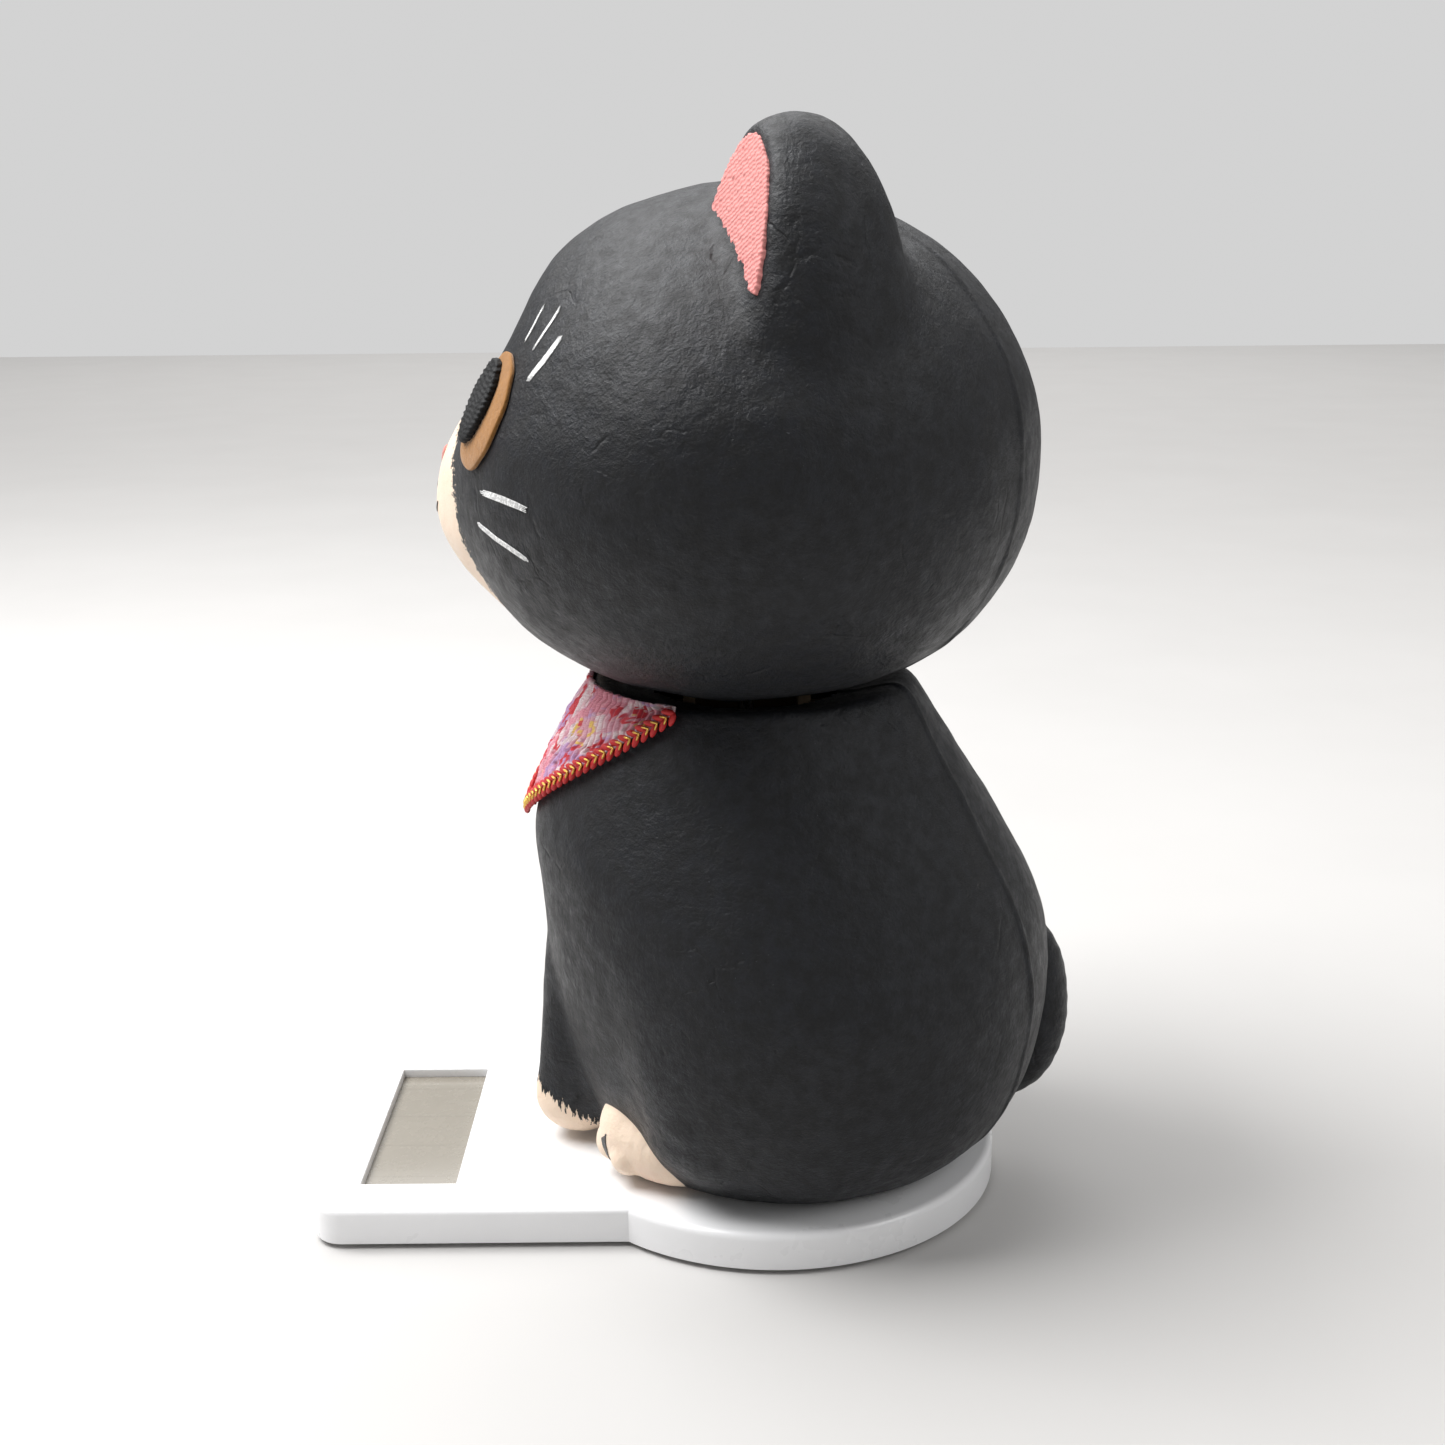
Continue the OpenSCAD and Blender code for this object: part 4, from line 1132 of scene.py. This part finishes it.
# each stroke: turn from the front and rise in degrees, at its start and its end, then its width and its bow
brush_lines = {"upper_whisker": ((31, -5), (48, -7), 0.75, -0.35), "lower_whisker": ((28.5, -12), (46.5, -18.5), 0.62, -0.3),
               "front_brow": ((30.5, 25.5), (32.5, 34.5), 0.42, 0.3), "middle_brow": ((36.5, 24.5), (41, 35), 0.5, 0.3),
               "rear_brow": ((39.5, 18), (46.5, 28.5), 0.95, 0.4)}
for side, word in ((1, "left"), (-1, "right")):
    strokes = []
    for name, (start, end, width, bow) in brush_lines.items():
        a, b = (head_point(math.radians(side * turn - 90), math.radians(rise)) for turn, rise in (start, end))
        strokes.append(stroke(name, a, b, width, bow * side, form))
    strokes = joined(word + "_brush_strokes", *strokes)
    strokes.data.materials.append(WHITE_PAINT)
    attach(strokes, "head")
    print(strokes.name, tris(strokes), "triangles")

# %% Mouth
lip_y = NECK_Y - HEAD_B - 4.5
mouth_top = Vector((0, lip_y, HEAD_Z - 3.4))
mouth_mid = Vector((0, lip_y, HEAD_Z - 6.2))
mouth = [stroke("mouth", mouth_top, mouth_mid, 0.42, 0, muzzle, 1)]
for side in (1, -1):
    corner = Vector((side * 4.6, lip_y + 1, HEAD_Z - 6.0))
    mouth.append(stroke("mouth", mouth_mid, corner, 0.42, 1.3 * side, muzzle, 1))
mouth = joined("mouth_line", *mouth)
mouth.data.materials.append(BLACK_PAINT)
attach(mouth, "head")

# %% Toe lines on the hind paws
for side, word in ((1, "left"), (-1, "right")):
    paw = bpy.data.objects[word + "_hind_paw"]
    lines = []
    for x, y, h, width in ((14.9, -19.8, 4.6, 0.75), (12, -21, 4.6, 0.6)):
        low = Vector((side * x, STAGE_Y + y, CAT_Z + h - 2.6))
        high = Vector((side * (x - 0.3), STAGE_Y + y + 1.6, CAT_Z + h + 1.6))
        lines.append(stroke("toe", low, high, width, 0.25 * side, paw, 1))
    lines = joined(word + "_toe_lines", *lines)
    lines.data.materials.append(BLACK_PAINT)
    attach(lines, "root")
drop(form)

# %% [markdown]
# ## The bib and its braid
# The bib is a triangle of printed crepe, glued round the chest, with its upper edge tucked under the head. A flat
# grid is laid on the body by a rule: across the grid is the turn round the chest, and up the grid is the height
# between the slanting lower edge and the neck. Its puckers are waves in the mesh, and a solidify gives the cloth.

# %% Places on the chest
BIB_TURN = 62
BODY_TOP = OUTER[-1][0]


def station_at(height):
    low, high = 0.0, len(OUTER) - 1.0
    for _ in range(16):
        middle = (low + high) / 2
        low, high = (low, middle) if along(OUTER, middle)[0] > height else (middle, high)
    return (low + high) / 2


def chest_point(u, h, out):
    """Place on the chest: u runs from -1 to 1 across the bib, h is the height above the underside."""
    over = max(h - BODY_TOP, 0)
    _, f, b, w = along(OUTER, station_at(min(h, BODY_TOP)))
    turn = math.radians(u * BIB_TURN - 90)
    push = out - 0.2 * over
    return Vector(((w + push) * math.cos(turn), STAGE_Y + (f + b) / 2 + ((b - f) / 2 + push) * math.sin(turn),
                   CAT_Z + h))


def bib_low(u):
    return 45.6 + 17.3 * abs(u) ** 1.05


def bib_high(u):
    return 63.4 + 0.3 * abs(u) ** 1.5


# %% Crepe bib
bpy.ops.mesh.primitive_grid_add(x_subdivisions=280, y_subdivisions=80, size=MM)
bib = bpy.context.object
bib.name = bib.data.name = "crepe_bib"


valley_shade_amounts = []


def lay_bib(p):
    u, rise = 2 * p.x, p.y + 0.5
    low, high = bib_low(u), bib_high(u)
    h = low + (high - low) * rise
    along_mm = u * 27
    wander = 1.3 * noise(Vector((along_mm * 0.22, h * 0.32, 0))) + 0.35 * noise(Vector((along_mm * 0.5, h * 1.3, 9)))
    pucker = math.sin(2 * math.pi * (along_mm / 1.15 + wander))
    pinch = 0.75 + 0.9 * noise(Vector((along_mm * 0.8, h * 1.1, 3)))
    # how far down a valley each point lies, kept for the painted shade in the valleys
    valley_shade_amounts.append(0.5 - 0.5 * pucker)
    return chest_point(u, h, 0.6 + 0.24 * pucker * pinch + 0.12 * noise(Vector((along_mm * 0.3, h * 0.3, 7))))


moved(bib, lay_bib)
# stored on the points for the painted shade in the valleys of the puckers
valley_shade = bib.data.attributes.new("valley_shade", "FLOAT", "POINT")
for i, depth in enumerate(valley_shade_amounts):
    valley_shade.data[i].value = depth
columns = 60
for i in range(columns):
    u0, u1 = 2 * i / columns - 1, 2 * (i + 1) / columns - 1
    a, b = chest_point(u0, bib_low(u0), 0.5), chest_point(u1, bib_low(u1), 0.5)
add_modifier(bib, "SOLIDIFY", thickness=0.4 * MM, offset=-1, use_even_offset=False)
smooth(bib, 80)


# %% [markdown]
# ### Printed crepe
# The cloth is dyed in soft clouds of red, pink, lilac, cream and yellow. Each cloud is a noise through a ramp,
# laid over the ones before, and a fine wave, kept on the points, paints shade into the valleys of the puckers. The
# pattern reads the grid's own UV map, stretched to millimetres, so that it follows the cloth round the chest.

# %% Printed crepe material
def printed_crepe():
    finish = Finish("printed_crepe", roughness=0.6, specular_ior_level=0.35, sheen_weight=0.3, sheen_roughness=0.35)
    where = finish.place((54, 16, 1), "UV")
    cloth = (0.74, 0.42, 0.50)
    for scale, colour, low, high in ((0.16, (0.52, 0.36, 0.62), 0.54, 0.60), (0.21, (0.86, 0.76, 0.78), 0.50, 0.58),
                                     (0.13, (0.80, 0.34, 0.42), 0.56, 0.62), (0.24, (0.84, 0.62, 0.14), 0.62, 0.66),
                                     (0.22, (0.62, 0.03, 0.045), 0.58, 0.61)):
        shifted = finish.node("ShaderNodeMapping")
        shifted.inputs["Location"].default_value = (scale * 100, scale * 37, 0)
        finish.link(where, shifted.inputs["Vector"])
        cloud = finish.noise(shifted.outputs["Vector"], scale, 3, 0.5, 0.8)
        cloth = finish.mix(finish.ramp(cloud, (low, 0.0), (high, 1.0)), cloth, colour)
    height = finish.tree.nodes.new("ShaderNodeSeparateXYZ")
    finish.link(finish.place(), height.inputs["Vector"])
    tip_z = CAT_Z + bib_low(0)
    low_down = finish.math("ADD", height.outputs["Z"], finish.math("MULTIPLY", finish.noise(where, 0.3, 3), 9))
    low_down = finish.ramp(finish.math("DIVIDE", finish.math("SUBTRACT", low_down, tip_z), 12), (0.62, 1.0), (0.72, 0.0))
    cloth = finish.mix(low_down, cloth, (0.60, 0.025, 0.035))
    weave = finish.noise(finish.place((54 * 2.2, 16 * 7, 1), "UV"), 1, 4, 0.7)
    cloth = finish.mix(finish.ramp(weave, (0.35, 0.5), (0.62, 0.0)), cloth, (0.30, 0.02, 0.04))
    valley_shade = finish.tree.nodes.new("ShaderNodeAttribute")
    valley_shade.attribute_name = "valley_shade"
    # darker in the valleys of the puckers: painted shade
    finish.colour(finish.mix(finish.ramp(valley_shade.outputs["Fac"], (0.45, 0.0), (1.0, 0.62)), cloth, (0.34, 0.05, 0.08)))
    finish.bump(weave, 0.08)
    return finish.material


finished(bib, "root", "bib_crepe", printed_crepe(), "bib")

# %% [markdown]
# ### Braid
# The lower edge is bound with a flat braid: crimson strands that cross in a row of Vs, with a gold thread beside
# each. One strand of each kind is made, as a long ball, and is copied along the edge, first leaning one way and
# then the other. A few dozen faces are enough for each, since there are over a hundred.


# %% Strands along the edge
def edge_line(count):
    """Evenly spaced places along the bib's lower edge, from corner to tip to corner."""
    fine = [chest_point(u, bib_low(u) - 0.2, 1.15) for u in (i / 200 - 1 for i in range(401))]
    lengths = [0]
    for a, b in zip(fine, fine[1:]):
        lengths.append(lengths[-1] + (b - a).length)
    spots, j = [], 0
    for k in range(count):
        goal = lengths[-1] * k / (count - 1)
        while j < len(fine) - 2 and lengths[j + 1] < goal:
            j += 1
        share = (goal - lengths[j]) / (lengths[j + 1] - lengths[j])
        spots.append(fine[j].lerp(fine[j + 1], share))
    print("braid length:", round(lengths[-1], 1), "mm")
    return spots


def strand(name, radii):
    return ball(name, (0, 0, 0), radii, 10, 6)


def braid_piece(name, template, spots, offset, lean, lift):
    """Copies the strand to each place, set to the side of the line and leaning to it."""
    copies = []
    for k, spot in enumerate(spots):
        ahead = (spots[min(k + 1, len(spots) - 1)] - spots[max(k - 1, 0)]).normalized()
        out = Vector((spot.x, spot.y - STAGE_Y, 0)).normalized()
        across = out.cross(ahead).normalized()
        out = ahead.cross(across).normalized()
        frame_of = Matrix((ahead, across, out)).transposed().to_4x4()
        turn = Matrix.Translation((spot + across * offset + out * lift) * MM) @ frame_of @ Matrix.Rotation(lean, 4, "Z")
        twin = copy_of(template, name)
        twin.data.transform(turn)
        copies.append(twin)
    return joined(name, *copies)


count = 52
spots = edge_line(count)
red_strand = strand("red_strand", (0.9, 0.42, 0.42))
gold_strand = strand("gold_strand", (0.55, 0.15, 0.2))
half = len(spots) // 2
reds, golds = [], []
for offset in (0.62, -0.62):
    lean = math.radians(-38 if offset > 0 else 38)
    reds.append(braid_piece("red", red_strand, spots, offset * 0.8, lean, 0))
    between = [a.lerp(b, 0.5) for a, b in zip(spots, spots[1:])]
    golds.append(braid_piece("gold", gold_strand, between, offset * 0.42, lean, 0.36))
drop(red_strand)
drop(gold_strand)
braid = joined("braid_strands", *reds)
gold = joined("gold_thread", *golds)
for part in (braid, gold):
    smooth(part, 80)


def thread(name, deep, light, metal=0.0, rough=0.5):
    finish = Finish(name, metallic=metal, specular_ior_level=0.5)
    where = finish.place()
    twist = finish.noise(where, 6, 4, 0.7)
    finish.colour(finish.mix(twist, deep, light))
    finish.rough(finish.ramp(twist, (0.3, rough - 0.1), (0.7, rough + 0.12)))
    finish.bump(twist, 0.08)
    return finish.material


finished(braid, "root", "braid", thread("crimson_silk", (0.36, 0.006, 0.010), (0.66, 0.02, 0.02)), "bib_braid")
gold.data.materials.append(thread("gold_thread", (0.55, 0.30, 0.05), (0.95, 0.66, 0.18), 1.0, 0.32))
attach(gold, "root")

# %% [markdown]
# ## Finishes for the CAD pieces
# The pieces that keep their CAD shape get a finish each: the works in the base, the neck and the pendulum. They
# are metals, moulded plastics, board and rubber, so one recipe with a mottled colour, a varied roughness and a
# fine relief does for most of them. The solar cell is glass over thin dark bars.


# %% Recipes for hard materials
def hard(name, deep, light, rough, metal=0.0, grain=2.0, depth=0.02, stretch=(1, 1, 1)):
    finish = Finish(name, metallic=metal)
    where = finish.place(stretch)
    spots_of = finish.noise(where, grain, 4)
    finish.colour(finish.mix(spots_of, deep, light))
    finish.rough(finish.ramp(spots_of, (0.3, rough - 0.06), (0.7, rough + 0.1)))
    finish.bump(spots_of, depth)
    return finish.material


def cell_glass():
    finish = Finish("solar_cell_glass", specular_ior_level=0.5, coat_weight=0.6, coat_roughness=0.06)
    where = finish.place()
    xyz = finish.tree.nodes.new("ShaderNodeSeparateXYZ")
    finish.link(where, xyz.inputs["Vector"])
    bars = finish.math("PINGPONG", finish.math("ADD", xyz.outputs["X"], 4.19), 4.19)
    gap = finish.ramp(finish.math("DIVIDE", bars, 4.19), (0.0, 1.0), (0.03, 0.0))
    tone = finish.mix(finish.noise(where, 0.08, 3), (0.22, 0.20, 0.165), (0.26, 0.235, 0.195))
    finish.colour(finish.mix(gap, tone, (0.19, 0.17, 0.14)))
    finish.rough(finish.ramp(finish.noise(where, 0.6, 3), (0.3, 0.22), (0.7, 0.30)))
    return finish.material


steel = hard("bright_steel", (0.42, 0.42, 0.43), (0.62, 0.62, 0.63), 0.28, 1.0, 3, 0.008, (1, 1, 0.2))
brass = hard("brass", (0.52, 0.36, 0.12), (0.72, 0.53, 0.22), 0.3, 1.0, 3, 0.008)
tan_plastic = hard("tan_plastic", (0.36, 0.26, 0.16), (0.46, 0.34, 0.22), 0.5)
black_plastic = hard("black_plastic", (0.012, 0.012, 0.013), (0.03, 0.03, 0.032), 0.42)
FINISHES = {
    "base_plate": WHITE, "rubber_feet": hard("foot_rubber", (0.02, 0.02, 0.02), (0.05, 0.05, 0.05), 0.75),
    "base_screws": steel, "solar_cell": cell_glass(),
    "cell_tape": hard("foam_tape", (0.10, 0.10, 0.10), (0.20, 0.20, 0.20), 0.9, 0, 4, 0.06),
    "drive_coil": hard("coil_copper", (0.40, 0.12, 0.04), (0.66, 0.26, 0.10), 0.35, 1.0, 1, 0.05, (0.2, 0.2, 9)),
    "coil_bobbin": black_plastic,
    "circuit_board": hard("green_board", (0.01, 0.10, 0.05), (0.02, 0.17, 0.08), 0.4, 0, 1.2, 0.03),
    "driver_chip": black_plastic, "storage_capacitor": hard("can_sleeve", (0.02, 0.03, 0.09), (0.04, 0.06, 0.15), 0.35),
    "cell_wires": hard("wire_red", (0.38, 0.01, 0.01), (0.55, 0.03, 0.02), 0.4),
    "coil_wires": hard("wire_enamel", (0.40, 0.12, 0.04), (0.6, 0.22, 0.08), 0.35, 1.0),
    "stage_tape": hard("white_tape", (0.55, 0.55, 0.54), (0.68, 0.68, 0.67), 0.8, 0, 3, 0.05),
    "bottom_board": hard("grey_card", (0.30, 0.26, 0.21), (0.42, 0.37, 0.30), 0.85, 0, 2, 0.08),
    "neck_frame": tan_plastic, "gimbal_ring": brass, "sway_pins": steel, "nod_pin": steel, "pivot_block": brass,
    "pendulum_rod": steel, "counterweight": hard("black_steel", (0.05, 0.05, 0.055), (0.11, 0.11, 0.115), 0.45, 1.0),
    "drive_magnet": hard("nickel_magnet", (0.48, 0.47, 0.45), (0.66, 0.65, 0.63), 0.22, 1.0, 2, 0.006),
    "head_cup": tan_plastic,
}
for node, material in FINISHES.items():
    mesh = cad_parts[node].data
    mesh.materials.clear()
    mesh.materials.append(material)
print(len(FINISHES), "CAD pieces have a finish")

# %% [markdown]
# ## Room, light and camera
# The object stands on a plain pale floor in a white room, under one broad soft light from above, so it is lit
# almost from everywhere and its black paper still shows a pale sheen on top. The camera stands at the cat's
# left, a little over two hundred millimetres away, and looks down by fifteen degrees.

# %% Floor
bpy.ops.mesh.primitive_plane_add(size=4, location=(0, 0, 0))
floor = bpy.context.object
floor.name = floor.data.name = "pale_floor"
ground = Finish("pale_floor", roughness=0.7, specular_ior_level=0.3)
spread = ground.place((0.01, 0.01, 0.01))
ground.colour(ground.mix(ground.noise(spread, 1.5, 3), (0.50, 0.49, 0.48), (0.54, 0.53, 0.52)))
floor.data.materials.append(ground.material)

# %% White room and soft light
world = bpy.data.worlds.new("white_room")
bpy.context.scene.world = world
world.use_nodes = True
world.node_tree.nodes["Background"].inputs["Color"].default_value = (1, 1, 1, 1)
seen = world.node_tree.nodes.new("ShaderNodeLightPath")
strength = world.node_tree.nodes.new("ShaderNodeMath")
strength.operation = "MULTIPLY_ADD"
strength.inputs[1].default_value = 0.4
strength.inputs[2].default_value = 0.25
world.node_tree.links.new(seen.outputs["Is Camera Ray"], strength.inputs[0])
world.node_tree.links.new(strength.outputs["Value"], world.node_tree.nodes["Background"].inputs["Strength"])


def soft_light(name, place, aim, size, power):
    bpy.ops.object.light_add(type="AREA", location=place)
    light = bpy.context.object
    light.name = name
    light.data.energy = power
    light.data.size = size
    light.rotation_euler = (Vector(place) - Vector(aim)).to_track_quat("Z", "Y").to_euler()
    return light


soft_light("overhead", (-0.02, -0.34, 0.60), (0, 0, 0.09), 0.45, 7.5)
soft_light("window_side", (0.25, 0.55, 0.50), (0, 0, 0.08), 0.4, 1.6)

soft_light("far_side", (-1.6, 0, 1.6), (-1.6, 0, 0), 2.5, 45)

# %% Camera
PITCH = math.radians(14.98)
ROLL = math.radians(-0.53)
camera_data = bpy.data.cameras.new("camera")
camera_data.sensor_width = 36
camera_data.lens = 44.22
camera_data.clip_start = 0.01
camera = bpy.data.objects.new("camera", camera_data)
bpy.context.scene.collection.objects.link(camera)
ahead = Vector((-math.cos(PITCH), 0, -math.sin(PITCH)))
level = Vector((0, 1, 0))
upward = level.cross(ahead)
right = level * math.cos(ROLL) + upward * math.sin(ROLL)
top = upward * math.cos(ROLL) - level * math.sin(ROLL)
camera.matrix_world = Matrix.Translation(at(223.3, STAGE_Y - 6.55, 122.16)) @ Matrix((right, top, -ahead)).transposed().to_4x4()
bpy.context.scene.camera = camera
bpy.context.scene.view_settings.view_transform = "Standard"
